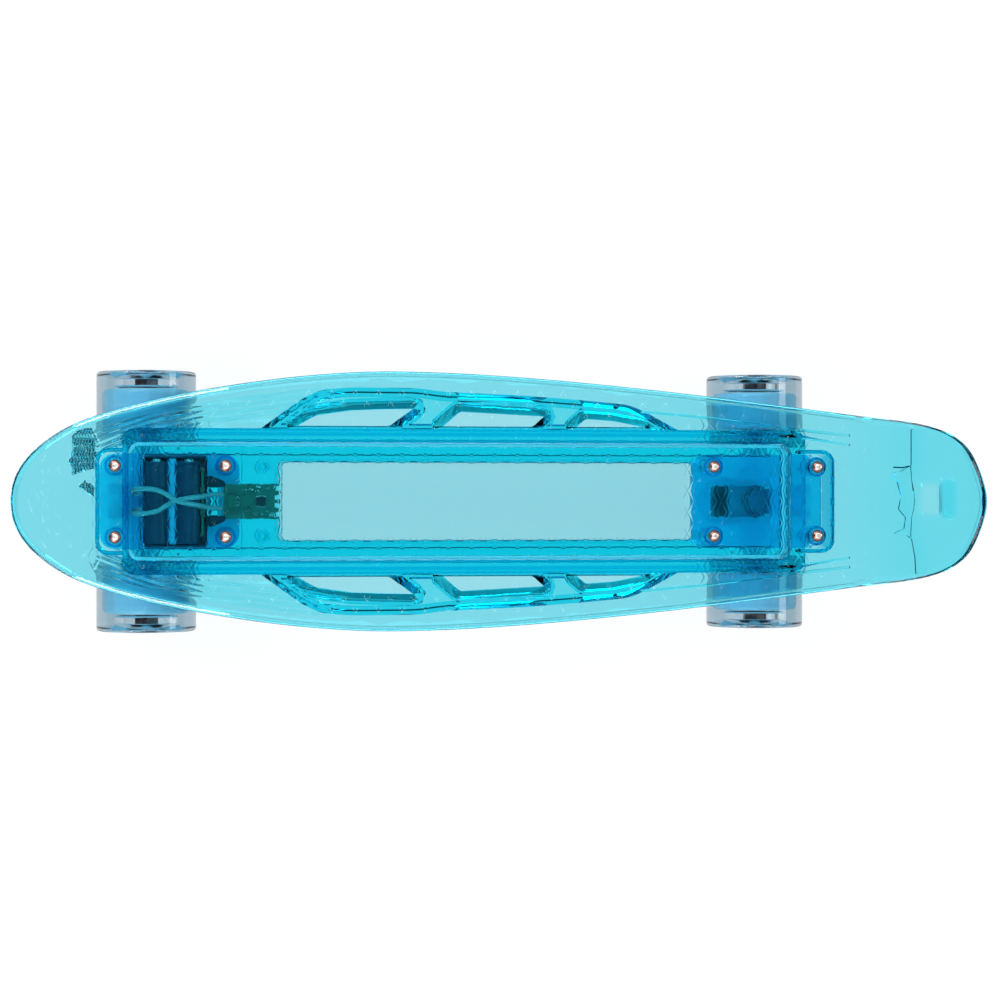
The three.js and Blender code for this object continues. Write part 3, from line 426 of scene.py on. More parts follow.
def softBox(shape, low, high, edge=0.2, slot=0):
    # a box with rounded edges, added to a bmesh in millimetres
    before = set(shape.faces)
    made = bmesh.ops.create_cube(shape, size=1)
    middle = [(a + b) / 2 for a, b in zip(low, high)]
    size = [b - a for a, b in zip(low, high)]
    for vertex in made["verts"]:
        vertex.co = Vector(m + c * s for m, c, s in zip(middle, vertex.co, size))
    edges = list({e for v in made["verts"] for e in v.link_edges})
    bmesh.ops.bevel(shape, geom=edges, offset=edge, segments=2, affect="EDGES", profile=0.5)
    for face in set(shape.faces) - before:
        face.material_index = slot


def boxesPiece(name, shape):
    bmesh.ops.recalc_face_normals(shape, faces=shape.faces)
    bmesh.ops.scale(shape, vec=(mm, mm, mm), verts=shape.verts)
    mesh = bpy.data.meshes.new(name)
    shape.to_mesh(mesh)
    shape.free()
    piece = linked(name, mesh)
    smoothShade(piece, 30)
    return piece


def roundRect(start, end, side, corner, inset=0.0, steps=8):
    radius = max(corner - inset, 0.05)
    left, right, reach = start + inset + radius, end - inset - radius, side - inset - radius
    centres = ((right, reach), (left, reach), (left, -reach), (right, -reach))
    return np.array([
        (x + radius * math.cos(math.radians(90 * (k + i / steps))),
         y + radius * math.sin(math.radians(90 * (k + i / steps))))
        for k, (x, y) in enumerate(centres) for i in range(steps + 1)])


def circle(x, y, radius, sides=32):
    turns = np.arange(sides) * 2 * math.pi / sides
    return np.column_stack([x + radius * np.cos(turns), y + radius * np.sin(turns)])


def areaLoop(area, inset=0.0):
    # the outline of a rounded rectangle that a dictionary gives
    loop = roundRect(area["start"], area["end"], area["side"], area["corner"], inset)
    return loop + np.array([0, area.get("middle", 0.0)])


def insideArea(points, area):
    # how far each point is inside such a rectangle, negative outside
    middle = np.array([(area["start"] + area["end"]) / 2, area.get("middle", 0.0)])
    half = np.array([(area["end"] - area["start"]) / 2, area["side"]]) - area["corner"]
    q = np.abs(points - middle) - half
    return area["corner"] - np.linalg.norm(np.maximum(q, 0), axis=1) - np.minimum(q.max(1), 0)


def grownArea(area, reach, corner):
    return {"start": area["start"] - reach, "end": area["end"] + reach, "side": area["side"] + reach, "corner": corner}


def reachFrom(points, place):
    return np.hypot(points[:, 0] - place[0], points[:, 1] - place[1])


def insetLoop(loop, distance):
    before, after = np.roll(loop, 1, 0), np.roll(loop, -1, 0)
    first, second = loop - before, after - loop
    first /= np.linalg.norm(first, axis=1)[:, None]
    second /= np.linalg.norm(second, axis=1)[:, None]
    normals = np.column_stack([-first[:, 1] - second[:, 1], first[:, 0] + second[:, 0]])
    normals /= np.linalg.norm(normals, axis=1)[:, None]
    own = np.column_stack([-first[:, 1], first[:, 0]])
    return loop + normals * (distance / np.maximum((normals * own).sum(1), 0.4))[:, None]


def roundedCorners(points, radius, steps=5):
    made = []
    count = len(points)
    for i, corner in enumerate(points):
        corner = Vector(corner)
        back = Vector(points[i - 1]) - corner
        ahead = Vector(points[(i + 1) % count]) - corner
        reach = min(radius, back.length * 0.45, ahead.length * 0.45)
        start, end = corner + back.normalized() * reach, corner + ahead.normalized() * reach
        for k in range(steps + 1):
            t = k / steps
            made.append(tuple(start.lerp(corner, t).lerp(corner.lerp(end, t), t)))
    return counterClockwise(np.array(made))


def counterClockwise(loop):
    after = np.roll(loop, -1, 0)
    area = (loop[:, 0] * after[:, 1] - after[:, 0] * loop[:, 1]).sum()
    return loop if area > 0 else loop[::-1].copy()


def insideDistance(points, loop):
    # how far each point is inside the loop, negative outside
    nearest = np.full(len(points), np.inf)
    inside = np.zeros(len(points), bool)
    x, y = points[:, 0], points[:, 1]
    for a, b in zip(loop, np.roll(loop, -1, 0)):
        along = b - a
        share = np.clip(((points - a) @ along) / max(along @ along, 1e-12), 0, 1)
        away = points - a - share[:, None] * along
        nearest = np.minimum(nearest, (away ** 2).sum(1))
        if a[1] != b[1]:
            crossing = a[0] + (y - a[1]) / (b[1] - a[1]) * (b[0] - a[0])
            inside ^= ((a[1] > y) != (b[1] > y)) & (x < crossing)
    return np.where(inside, np.sqrt(nearest), -np.sqrt(nearest))


def lineDistance(points, line):
    nearest = np.full(len(points), np.inf)
    for a, b in zip(line[:-1], line[1:]):
        along = b - a
        share = np.clip(((points - a) @ along) / (along @ along), 0, 1)
        nearest = np.minimum(nearest, ((points - a - share[:, None] * along) ** 2).sum(1))
    return np.sqrt(nearest)


def areaLines(area, insets):
    return [(areaLoop(area, inset), True) for inset in insets]


def insetLines(loop, insets):
    return [(insetLoop(loop, inset), True) for inset in insets]


def planSheet(loops, lines):
    # triangles over the area in the first loop and outside the others, with every line as edges
    points, edges, marks = [], [], []
    for line, closed in [(loop, True) for loop in loops] + list(lines):
        first, count = len(points), len(line)
        points.extend(Vector((float(x), float(y))) for x, y in line)
        edges.extend((first + i, first + (i + 1) % count) for i in range(count if closed else count - 1))
        marks.append(range(first, first + count))
    flat, _, faces, origins, _, _ = delaunay_2d_cdt(points, edges, [], 0, 1e-5)
    flat, faces = np.array([p[:] for p in flat]), np.array(faces)
    centres = flat[faces].mean(1)
    keep = insideDistance(centres, loops[0]) > 0
    for hole in loops[1:]:
        keep &= insideDistance(centres, hole) < 0
    where = {source: k for k, sources in enumerate(origins) for source in sources}
    return flat, faces[keep], [[where[i] for i in mark] for mark in marks[:len(loops)]]


def shellPiece(name, loops, upperLines, lowerLines, upperHeight, lowerHeight):
    # a moulded plate: both faces are heights over the plan, and share their edges
    upper, upperFaces, upperRims = planSheet(loops, upperLines)
    lower, lowerFaces, lowerRims = planSheet(loops, lowerLines)
    points = np.vstack([
        np.column_stack([upper, upperHeight(upper)]), np.column_stack([lower, lowerHeight(lower)])])
    shift = len(upper)
    faces = upperFaces.tolist() + (lowerFaces[:, ::-1] + shift).tolist()
    for top, bottom in zip(upperRims, lowerRims):
        for i in range(len(top)):
            j = (i + 1) % len(top)
            faces.append((bottom[i] + shift, bottom[j] + shift, top[j], top[i]))
    return linked(name, meshFrom(name, points.tolist(), faces))


def edgeDrop(distance, radius):
    # how far a rounded edge lies under its face, at a distance inside the edge
    left = np.clip(radius - distance, 0, radius)
    return radius - np.sqrt(np.maximum(radius ** 2 - left ** 2, 0))


# Deck

deck = {"length": 571.5, "width": 152.2, "top": 106.0, "skin": 3.2, "lipWidth": 1.7, "lipDepth": 4.6, "lipBlend": 1.8,
        "window": 2.0, "noseRise": 10.0, "noseRun": 52.0, "tailRise": 31.0, "tailRun": 76.0, "wallDepth": 23.5,
        "bossDepth": 20.6, "draft": 0.35, "dish": 3.1, "dishDepth": 0.35}
halfLength, halfWidth = deck["length"] / 2, deck["width"] / 2
box = {"start": -222.8, "end": 183.3, "side": 42.6, "corner": 7.0}
room = {"start": -221.1, "end": 176.2, "side": 36.4, "corner": 8.3, "wall": 2.0}
window = {"start": -131.0, "end": 117.0, "side": 23.0, "corner": 3.0}
cover = {"start": -218.8, "end": 173.9, "side": 34.1, "corner": 6.0, "low": 82.5, "top": 85.1, "edge": 0.5,
         "rimSteps": (0.1, 0.25, 1.65, 1.8), "rimHeight": 5.0, "postTop": 102.5, "boreDepth": 14.0,
         "grooveSteps": (6.2, 6.54, 6.88), "grooveDepth": 0.4, "windowBevel": 0.55, "bevelHeight": 0.62}
seal = {"inset": 0.8, "wide": 2.3, "tall": 1.7, "low": 90.05, "open": 28.5, "sides": 14}
sealRoof = {"steps": [-0.5, -0.3, 2.0, 2.2], "depths": [3.2, 1.9, 1.9, 3.2]}
pads = {"start": -238.3, "end": 201.3, "side": 31.0, "corner": 8.0, "wall": 2.4}
boltAt = [(x, y) for x in (-227.05, -163.55, 126.55, 190.05) for y in (-20.65, 20.65)]
coverBolts = [(x, y) for x, y in boltAt if cover["start"] < x < cover["end"]]
holeRadius = 2.7
grip = {"wide": 6.9, "tall": 12.9, "pitch": 13.7, "shift": 0.9, "rise": 0.2, "line": 0.35, "slope": 0.42,
        "margin": 6.5, "boltGap": 9.5, "end": 224.0, "columns": 24}
bends = {"inset": 3.6, "gap": 3.4, "start": 4.5, "tailEnd": 1.5}


def bezier(a, b, c, d, count):
    t = np.linspace(0, 1, count)[:, None]
    a, b, c, d = map(np.array, (a, b, c, d))
    return (1 - t) ** 3 * a + 3 * (1 - t) ** 2 * t * b + 3 * (1 - t) * t ** 2 * c + t ** 3 * d


def deckOutline(steps=24):
    # curves in shares of the deck's half length and half width
    arcs = [
        [(-1, 0), (-1, 0.25), (-0.9554, 0.407), (-0.9011, 0.535)],
        [(-0.9011, 0.535), (-0.798, 0.767), (-0.455, 1), (-0.231, 1)],
        [(-0.231, 1), (0.07, 1), (0.49, 0.8016), (0.84, 0.637)],
        [(0.84, 0.637), (0.903, 0.602), (0.945, 0.539), (0.9676, 0.4074)],
        [(0.9676, 0.4074), (0.9816, 0.326), (1, 0.118), (1, 0)],
    ]
    side = np.vstack([bezier(*arc, steps + 1)[:-1] for arc in arcs] + [np.array([[1.0, 0.0]])])
    side = side * np.array([halfLength, halfWidth])
    whole = np.vstack([side, side[1:-1][::-1] * np.array([1, -1])])
    return counterClockwise(whole)


noseLine = bezier(
    (-halfLength, deck["noseRise"]), (-halfLength + 0.45 * 0.75 * deck["noseRun"], 0.32 * deck["noseRise"]),
    (-halfLength + 0.55 * deck["noseRun"], 0), (-halfLength + deck["noseRun"], 0), 80)
tailLine = bezier(
    (halfLength - deck["tailRun"], 0), (halfLength - 0.64 * deck["tailRun"], 0),
    (halfLength - 0.32 * deck["tailRun"], 0.5 * deck["tailRise"]), (halfLength, deck["tailRise"]), 80)
topLine = np.vstack([noseLine, tailLine])


def topRise(x):
    return np.interp(x, topLine[:, 0], topLine[:, 1])


def topSlope(x):
    return topRise(x + 0.5) - topRise(x - 0.5)


outline = deckOutline()
sideCells = [
    [(-123.5, 43.6), (-111.4, 50.5), (-90.3, 53.6), (-70, 54.4), (-52.8, 54.7), (-68.0, 43.6)],
    [(-37.6, 43.6), (-26.4, 53.2), (22.0, 50.7), (24.6, 50.4), (17.2, 43.6)],
    [(42.2, 43.6), (48.6, 49.2), (66.0, 48.0), (80.5, 45.2), (85.2, 43.6)],
]
bandLine = [
    (-146.5, 40.0), (-119.2, 59.9), (-108.6, 65.1), (-90.3, 66.7), (-50.3, 66.5), (-37.1, 64.5),
    (9.7, 62.6), (44.0, 60.2), (74.3, 57.5), (84.0, 53.8), (109.5, 40.0),
]
thinRibs = [
    {"line": [(82.9, 53.3), (122.9, 49.9), (174.3, 43.5), (210.3, 39.7)], "width": 1.5, "depth": 6.2},
    {"line": [(171.5, 39.6), (191.5, 36.8), (210.3, 34.0)], "width": 1.5, "depth": 6.2},
    {"line": [(85.0, 45.2), (105.0, 41.2), (120.0, 40.2)], "width": 1.2, "depth": 5.0},
]
waves = {"xStart": -240.0, "xFull": -222.0, "xFade": -112.0, "xEnd": -92.0, "inStart": 7.0, "inFull": 9.0,
         "inFade": 20.0, "inEnd": 23.0, "period": 3.6, "height": 1.0, "extra": 0.7, "step": 0.6}
tailCrease = np.array([
    (247.0, 43.0), (247.0, 30.9), (247.0, 21.6), (241.3, 18.2), (236.4, 17.0), (239.5, 10.6), (241.3, 2.2),
    (239.9, -4.6), (243.9, -9.7), (243.0, -16.4), (236.9, -19.4), (244.8, -20.6), (247.4, -23.2), (249.1, -33.3),
    (249.5, -43.0)])
tailGrooves = [
    np.array([(247.0, 21.0), (247.4, 12.3), (248.6, 6.0), (249.1, 0.5), (248.4, -5.0), (247.4, -9.7), (247.2, -22.0)]),
    np.array([(237.5, 20.6), (242.3, 20.3), (246.4, 21.2)])]
groove = {"half": 0.42, "depth": 0.55}
tailPad = {"start": 249.5, "end": 264.5, "middle": 1.3, "side": 11.5, "corner": 4.4, "slope": 4.4, "height": -1.2}
tailSwell = {"start": 262.0, "end": 273.0, "middle": 1.3, "side": 13.0, "corner": 5.4, "slope": 3.2, "height": 1.5}
creaseStep = {"slope": 0.55, "depth": 0.62, "fade": 9.0}
tailSkin = {"start": 205.0, "full": 240.0, "extra": 1.0}
nosePatch = {"edge": 0.8, "height": 1.3, "pitch": 1.7, "swing": 1.0, "turn": 3.0, "loops": [
    [(-252.1, 36.8), (-249, 40.5), (-245.1, 41.8), (-240.6, 42.5), (-236.9, 37.1), (-238.2, 30.4), (-236.4, 25.3),
     (-236.9, 19.4), (-245.1, 17.2), (-251.5, 14.8), (-253.4, 22.8), (-251, 30.4)],
    [(-248, 8.5), (-244, 12.5), (-241, 10.5), (-237.5, 8), (-239, 2.5), (-243, 5.5)]]}
# rises of the deck's lower edge, and drops of its upper edge, from the outline inwards
lowerSteps, lowerRises = [0, 0.1, 1.05, 1.25], [1.55, 1.36, 0.1, 0]
bevelSteps, bevelDrops = [0, 0.12, 0.3, 0.95, 1.15, 2.1, 2.3, 2.6], [1.0, 0.86, 0.8, 0.76, 0.68, 0.08, 0.02, 0]
bossSteps, bossShares = [4.5, 4.75, 5.65, 6.0], [0, 1, 0.98, 0]


def mirrored(points):
    return [np.array(points, float) * np.array([1, side]) for side in (1, -1)]


# the side bands are hollow ribs: a slope, a ridge and a shallower middle, from their own edge or from a window
bandSteps, cellSteps = (0.0, 3.1, 4.5, 5.6), (0.0, 4.6, 5.4, 6.6)
bandShape = {"ridge": 10.2, "middle": 5.2, "cellEdge": 0.5}
bands = [counterClockwise(roundedCorners(line.tolist(), 6)) for line in mirrored(bandLine)]
cells = [roundedCorners(line.tolist(), 1.8) for cell in sideCells for line in mirrored(cell)]
ribs = [(line, rib) for rib in thinRibs for line in mirrored(rib["line"])]


def wallInsets(wall):
    draft = deck["draft"]
    return [0, draft, draft + 0.3, wall - draft - 0.3, wall - draft, wall]


def wallShare(distance, wall):
    return np.interp(distance, wallInsets(wall), [0, 0.975, 1, 1, 0.975, 0])


# depths across the two walls of the light box, from the outside inwards, and their end towards the tail
boxSteps = [0, 0.3, 0.5, 1.0, 1.3, 2.1, 2.5, 4.0, 4.3]
boxDepths = [3.2, 22.9, 23.5, 23.5, 14.0, 14.0, 22.0, 22.0, 12.0]
boxTail = {"steps": [171, 178], "depths": [24, 12]}


def bandDepth(points):
    skin = deck["skin"]
    outer = np.max([insideDistance(points, band) for band in bands], axis=0)
    inner = np.min([-insideDistance(points, cell) for cell in cells], axis=0)
    ridge = np.maximum(np.interp(outer, bandSteps, [1, 1, 1, 0]), np.interp(inner, cellSteps, [1, 1, 1, 0]))
    level = bandShape["middle"] + (bandShape["ridge"] - bandShape["middle"]) * ridge
    rise = np.minimum(np.interp(outer, bandSteps[:2], [0, 1]), np.interp(inner, cellSteps[:2], [0, 1]))
    depth = np.minimum(level, skin + (bandShape["ridge"] - skin) * rise)
    glass = np.interp(-inner, [0, bandShape["cellEdge"]], [skin, deck["window"]])
    return np.where(inner < 0, glass, depth)


def waveDepth(points, edge):
    # soft ripples along the front of the deck, beside its outline
    x = points[:, 0]
    share = np.interp(x, [waves["xStart"], waves["xFull"], waves["xFade"], waves["xEnd"]], [0, 1, 1, 0])
    share = share * np.interp(edge, [waves["inStart"], waves["inFull"], waves["inFade"], waves["inEnd"]], [0, 1, 1, 0])
    swing = (edge + 0.7 * np.sin(x / 17.0) + 0.4 * np.sin(x / 6.3 + edge / 4)) / waves["period"] % 1
    wave = 0.5 * np.sin(2 * math.pi * swing) * (0.85 + 0.15 * np.sin(x / 9.1 + edge))
    return share * (waves["height"] * wave + waves["extra"])


def tailDepth(points):
    # the tail is a little thicker behind a crease, thinner in a pad and thicker again near its end
    near = lineDistance(points, tailCrease)
    behind = insideDistance(points, counterClockwise(np.vstack([tailCrease, [(300, -60), (300, 60)]]))) > 0
    share = np.interp(np.where(behind, near, 0), [0, creaseStep["slope"]], [0, 1])
    extra = creaseStep["depth"] * share * np.interp(near, [0, creaseStep["fade"]], [1, 0])
    extra = extra + tailSkin["extra"] * np.interp(points[:, 0], [tailSkin["start"], tailSkin["full"]], [0, 1])
    for area in (tailPad, tailSwell):
        extra = extra + area["height"] * np.interp(insideArea(points, area), [0, area["slope"]], [0, 1])
    for line in tailGrooves:
        extra = extra - groove["depth"] * np.interp(lineDistance(points, line), [0, groove["half"]], [1, 0])
    return extra


def jag(y):
    return nosePatch["swing"] * np.abs(y / nosePatch["turn"] % 2 - 1)


def patchDepth(points):
    # jagged facets under one side of the nose
    x, y = points[:, 0], points[:, 1]
    depth = np.zeros(len(points))
    for loop in nosePatch["loops"]:
        near = insideDistance(points, counterClockwise(np.array(loop, float)))
        facet = np.abs((x - jag(y)) / nosePatch["pitch"] % 1 * 2 - 1)
        depth += nosePatch["height"] * facet * np.interp(near, [0, nosePatch["edge"]], [0, 1])
    return depth


def thicker(depth, target, share):
    return np.where(share > 0, np.maximum(depth, deck["skin"] + (target - deck["skin"]) * share), depth)


def deckLower(points):
    edge = insideDistance(points, outline)
    depth = bandDepth(points) + waveDepth(points, edge) + tailDepth(points) + patchDepth(points)
    lip = np.interp(edge, [0, deck["lipWidth"], deck["lipWidth"] + deck["lipBlend"]], [1, 1, 0])
    depth = thicker(depth, deck["lipDepth"], lip)
    for line, rib in ribs:
        share = np.interp(lineDistance(points, line), [rib["width"] / 2 - 0.3, rib["width"] / 2], [1, 0])
        depth = thicker(depth, rib["depth"], share)
    boxNear, roomNear = insideArea(points, box), insideArea(points, room)
    ring = np.minimum(np.interp(boxNear, boxSteps, boxDepths),
                      np.interp(points[:, 0], boxTail["steps"], boxTail["depths"]))
    depth = np.where((roomNear < 0.2) & (boxNear > 0), np.maximum(depth, ring), depth)
    depth = thicker(depth, deck["wallDepth"], wallShare(roomNear, room["wall"]))
    sealNear = insideArea(points, cover)
    depth = np.where((sealNear > sealRoof["steps"][0]) & (sealNear < sealRoof["steps"][3]),
                     np.interp(sealNear, sealRoof["steps"], sealRoof["depths"]), depth)
    roofNear = insideArea(points, window)
    depth = np.where(roofNear > 0, np.interp(roofNear, [0, 0.3], [deck["skin"], deck["window"]]), depth)
    padShare = np.where(boxNear < 1, wallShare(insideArea(points, pads), pads["wall"]), 0)
    depth = thicker(depth, deck["wallDepth"], padShare)
    for place in boltAt:
        full = deck["bossDepth"] if place in coverBolts else deck["wallDepth"]
        depth = thicker(depth, full, np.interp(reachFrom(points, place), bossSteps, bossShares))
    slope = np.sqrt(1 + topSlope(points[:, 0]) ** 2)
    return deck["top"] + topRise(points[:, 0]) - depth * slope + np.interp(edge, lowerSteps, lowerRises)


def gripCentres():
    # diamonds in staggered rows, wherever a whole one fits beside the outline and the bolts
    places = []
    rows = int(halfWidth / (grip["tall"] / 2)) + 1
    for row in range(-rows, rows + 1):
        for step in range(-grip["columns"], grip["columns"] + 1):
            x = grip["shift"] + grip["pitch"] * (step + 0.5 * (row % 2))
            places.append((x, row * grip["tall"] / 2))
    places = np.array(places)
    corners = [places + np.array(c) for c in
               ((grip["wide"] / 2, 0), (-grip["wide"] / 2, 0), (0, grip["tall"] / 2), (0, -grip["tall"] / 2))]
    keep = np.min([insideDistance(c, outline) for c in corners], axis=0) > grip["margin"]
    for place in boltAt:
        keep &= reachFrom(places, place) > grip["boltGap"]
    return places[keep & (places[:, 0] < grip["end"])]


gripAt = gripCentres()
gripReach = grip["wide"] * grip["tall"] / 4 / math.hypot(grip["wide"] / 2, grip["tall"] / 2)


def gripRise(points):
    rise = np.zeros(len(points))
    outer = grip["line"] / 2 + grip["slope"]
    for x, y in gripAt:
        near = np.abs(points[:, 0] - x) < grip["wide"]
        q = np.abs(points[near, 0] - x) / (grip["wide"] / 2) + np.abs(points[near, 1] - y) / (grip["tall"] / 2)
        away = np.abs(q - 1) * gripReach
        rise[near] = np.maximum(rise[near], grip["rise"] * np.clip((outer - away) / grip["slope"], 0, 1))
    return rise


def deckUpper(points):
    dish = np.zeros(len(points))
    for place in boltAt:
        reach = reachFrom(points, place)
        dish = np.maximum(dish, np.interp(reach, [holeRadius, deck["dish"]], [deck["dishDepth"], 0]))
    drop = np.interp(insideDistance(points, outline), bevelSteps, bevelDrops)
    return deck["top"] + topRise(points[:, 0]) + gripRise(points) - dish - drop


def bendLines():
    # lines across the deck that carry its bends
    inner = insetLoop(outline, bends["inset"])
    reaches = np.linspace(0, halfWidth, 600)
    places = [*np.arange(bends["start"] - halfLength, deck["noseRun"] - halfLength, bends["gap"]),
              *np.arange(halfLength - deck["tailRun"] + bends["start"], halfLength - bends["tailEnd"], bends["gap"])]
    lines = []
    for x in places:
        inside = insideDistance(np.column_stack([np.full(600, x), reaches]), inner) > 0
        if inside.any():
            reach = reaches[inside].max()
            lines.append((np.array([(x, y) for y in np.linspace(-reach, reach, 15)]), False))
    return lines


def deckUpperLines():
    lines = insetLines(outline, bevelSteps[1:])
    inner, outer = grip["line"] / 2, grip["line"] / 2 + grip["slope"]
    for x, y in gripAt:
        for off in (outer, inner, -inner, -outer):
            size = (gripReach + off) / gripReach
            a, b = grip["wide"] / 2 * size, grip["tall"] / 2 * size
            lines.append((np.array([(x + a, y), (x, y + b), (x - a, y), (x, y - b)]), True))
    lines += [(circle(x, y, deck["dish"]), True) for x, y in boltAt]
    return lines + bendLines()


def ribLoop(line, width):
    # the outline of a line with a width, made a little longer at both ends
    first, last = line[1] - line[0], line[-1] - line[-2]
    long = line.copy()
    long[0] -= first / np.linalg.norm(first) * width
    long[-1] += last / np.linalg.norm(last) * width
    ahead = np.gradient(long, axis=0)
    ahead /= np.linalg.norm(ahead, axis=1)[:, None]
    normal = np.column_stack([-ahead[:, 1], ahead[:, 0]]) * width
    return np.vstack([long + normal, (long - normal)[::-1]])


def waveLines():
    lines = []
    for inset in np.arange(waves["inStart"], waves["inEnd"] + 0.1, waves["step"]):
        loop = insetLoop(outline, inset)
        loop = loop[(loop[:, 0] > waves["xStart"] - 4) & (loop[:, 0] < waves["xEnd"] + 4)]
        for side in (1, -1):
            part = loop[side * loop[:, 1] > 0]
            part = part[np.argsort(part[:, 0])]
            dense = np.linspace(part[0, 0], part[-1, 0], 60)
            lines.append((np.column_stack([dense, np.interp(dense, part[:, 0], part[:, 1])]), False))
    return lines


def padLines():
    # the walls round the baseplates' ends, only outside the light box
    lines = []
    for inset in wallInsets(pads["wall"]):
        loop = areaLoop(pads, inset)
        for keep in (loop[:, 0] < box["start"] + 1.4, loop[:, 0] > box["end"] - 1.4):
            order = np.argsort(np.arctan2(loop[keep, 1], np.abs(loop[keep, 0]) - 180))
            part = loop[keep][order]
            ends = np.array([part[0], part[-1]])
            ends[:, 0] = box["start"] + 1.2 if part[0, 0] < 0 else box["end"] - 1.2
            lines.append((np.vstack([ends[:1], part, ends[1:]]), False))
    return lines


def patchLines():
    lines, pitch, turn = [], nosePatch["pitch"], nosePatch["turn"]
    for loop in nosePatch["loops"]:
        loop = counterClockwise(np.array(loop, float))
        lines += insetLines(loop, (0, nosePatch["edge"]))
        down = np.arange(math.floor(loop[:, 1].min() / turn) * turn, loop[:, 1].max(), turn / 4)
        for number in np.arange(math.floor(loop[:, 0].min() / pitch) - 1, loop[:, 0].max() / pitch + 1):
            for shift in (0, 0.5):
                row = np.column_stack([(number + shift) * pitch + jag(down), down])
                row = row[insideDistance(row, loop) > 0.2]
                if len(row) > 1:
                    lines.append((row, False))
    return lines


def deckLowerLines():
    lip = [deck["lipWidth"] + deck["lipBlend"] * share for share in (0, 0.35, 0.7, 1)]
    lines = insetLines(outline, lowerSteps[1:] + lip) + waveLines()
    for band in bands:
        lines += insetLines(band, bandSteps)
    for cell in cells:
        lines += insetLines(cell, [-step for step in cellSteps] + [bandShape["cellEdge"]])
    lines += areaLines(window, (0, 0.3))
    lines += [(tailCrease, False), (tailCrease + np.array([creaseStep["slope"] * 1.3, 0]), False)]
    lines += areaLines(tailPad, (0, tailPad["slope"] / 2, tailPad["slope"]))
    for line, rib in ribs:
        lines += [(ribLoop(line, rib["width"] / 2), True), (ribLoop(line, rib["width"] / 2 - 0.3), True)]
    for line in tailGrooves:
        lines += [(line, False), (ribLoop(line, groove["half"]), True)]
    lines += areaLines(tailSwell, (0, tailSwell["slope"])) + areaLines(cover, sealRoof["steps"])
    lines += areaLines(box, boxSteps) + areaLines(room, wallInsets(room["wall"]) + [0.2])
    lines += padLines()
    lines += [(circle(x, y, radius), True) for x, y in boltAt for radius in bossSteps]
    return lines + patchLines() + bendLines()


def buildDeck():
    loops = [outline] + [circle(x, y, holeRadius) for x, y in boltAt]
    piece = shellPiece("deckShell", loops, deckUpperLines(), deckLowerLines(), deckUpper, deckLower)
    smoothShade(piece, 38)
    dress(piece, "board", ["deck"], "deck_plastic", finishes["deck"])


buildDeck()
print("deck built")


# Box cover and light guide

postAt, postRadii = [(-141.3, -20.5), (-141.3, 20.5)], (1.6, 1.9, 3.3, 3.7, 4.3)
button = {"place": (-142.3, 0.0), "hole": 4.7}
# ribs on the cover: start and end along the deck, both sides and height
coverRibs = [(-162.4, -138.8, 7.25, 8.75, 3.0), (-162.4, -138.8, -8.75, -7.25, 3.0),
             (-153.2, -152.0, 11.5, 33.0, 2.4), (-153.2, -152.0, -33.0, -11.5, 2.4)]
ribSlope = 0.2


def coverUpper(points):
    x, y = points[:, 0], points[:, 1]
    near = insideArea(points, cover)
    height = cover["rimHeight"] * np.interp(near, cover["rimSteps"], [0, 1, 1, 0])
    tall = cover["postTop"] - cover["top"]
    for place in postAt:
        column = np.interp(reachFrom(points, place), postRadii,
                           [tall - cover["boreDepth"], tall, tall, tall - 0.3, 0])
        height = np.maximum(height, column)
    for start, end, low, high, tall in coverRibs:
        inside = np.min([x - start, end - x, y - low, high - y], axis=0)
        height = np.maximum(height, tall * np.clip(inside / ribSlope, 0, 1))
    return cover["top"] + height - edgeDrop(near, 0.4)


def coverLower(points):
    near = insideArea(points, cover)
    dip = cover["grooveDepth"] * np.interp(near, cover["grooveSteps"], [0, 1, 0])
    bevel = cover["bevelHeight"] * np.interp(-insideArea(points, window), [0, cover["windowBevel"]], [1, 0])
    return cover["low"] + edgeDrop(near, cover["edge"]) + dip + bevel


def coverRibLoop(start, end, low, high, inset):
    return np.array([(start + inset, low + inset), (end - inset, low + inset), (end - inset, high - inset),
                     (start + inset, high - inset)])


def buildCover():
    loops = [areaLoop(cover), areaLoop(window), circle(*button["place"], button["hole"])]
    loops += [circle(x, y, holeRadius) for x, y in coverBolts]
    upper = areaLines(cover, (0.05, *cover["rimSteps"]))
    upper += [(circle(*place, radius), True) for place in postAt for radius in postRadii]
    upper += [(coverRibLoop(*rib[:4], inset), True) for rib in coverRibs for inset in (0, ribSlope)]
    lower = areaLines(cover, (0.05, 0.15, 0.3, 0.5, *cover["grooveSteps"]))
    lower += areaLines(window, [-cover["windowBevel"]])
    piece = shellPiece("boxCover", loops, upper, lower, coverUpper, coverLower)
    smoothShade(piece, 40)
    dress(piece, "board", ["box_cover"], "cover_plastic", finishes["cover"])


guide = {"ledgeLow": 85.4, "top": 87.0, "stepInsets": (0, 0.15, 0.45), "stepDepths": (0, 2.75, 2.9),
         "gateAt": (38.0, 0.0), "gateRadii": (1.2, 1.6, 3.2, 3.6, 4.4, 4.8),
         "gateHeights": (-0.25, 0, 0, 0.12, 0.12, 0)}
guideLedge, guideStep = grownArea(window, 3.0, 6.0), grownArea(window, -0.3, 2.7)


def guideUpper(points):
    gate = np.interp(reachFrom(points, guide["gateAt"]), guide["gateRadii"], guide["gateHeights"])
    return guide["top"] - edgeDrop(insideArea(points, guideLedge), 0.4) + gate


def guideLower(points):
    return guide["ledgeLow"] - np.interp(insideArea(points, guideStep), guide["stepInsets"], guide["stepDepths"])


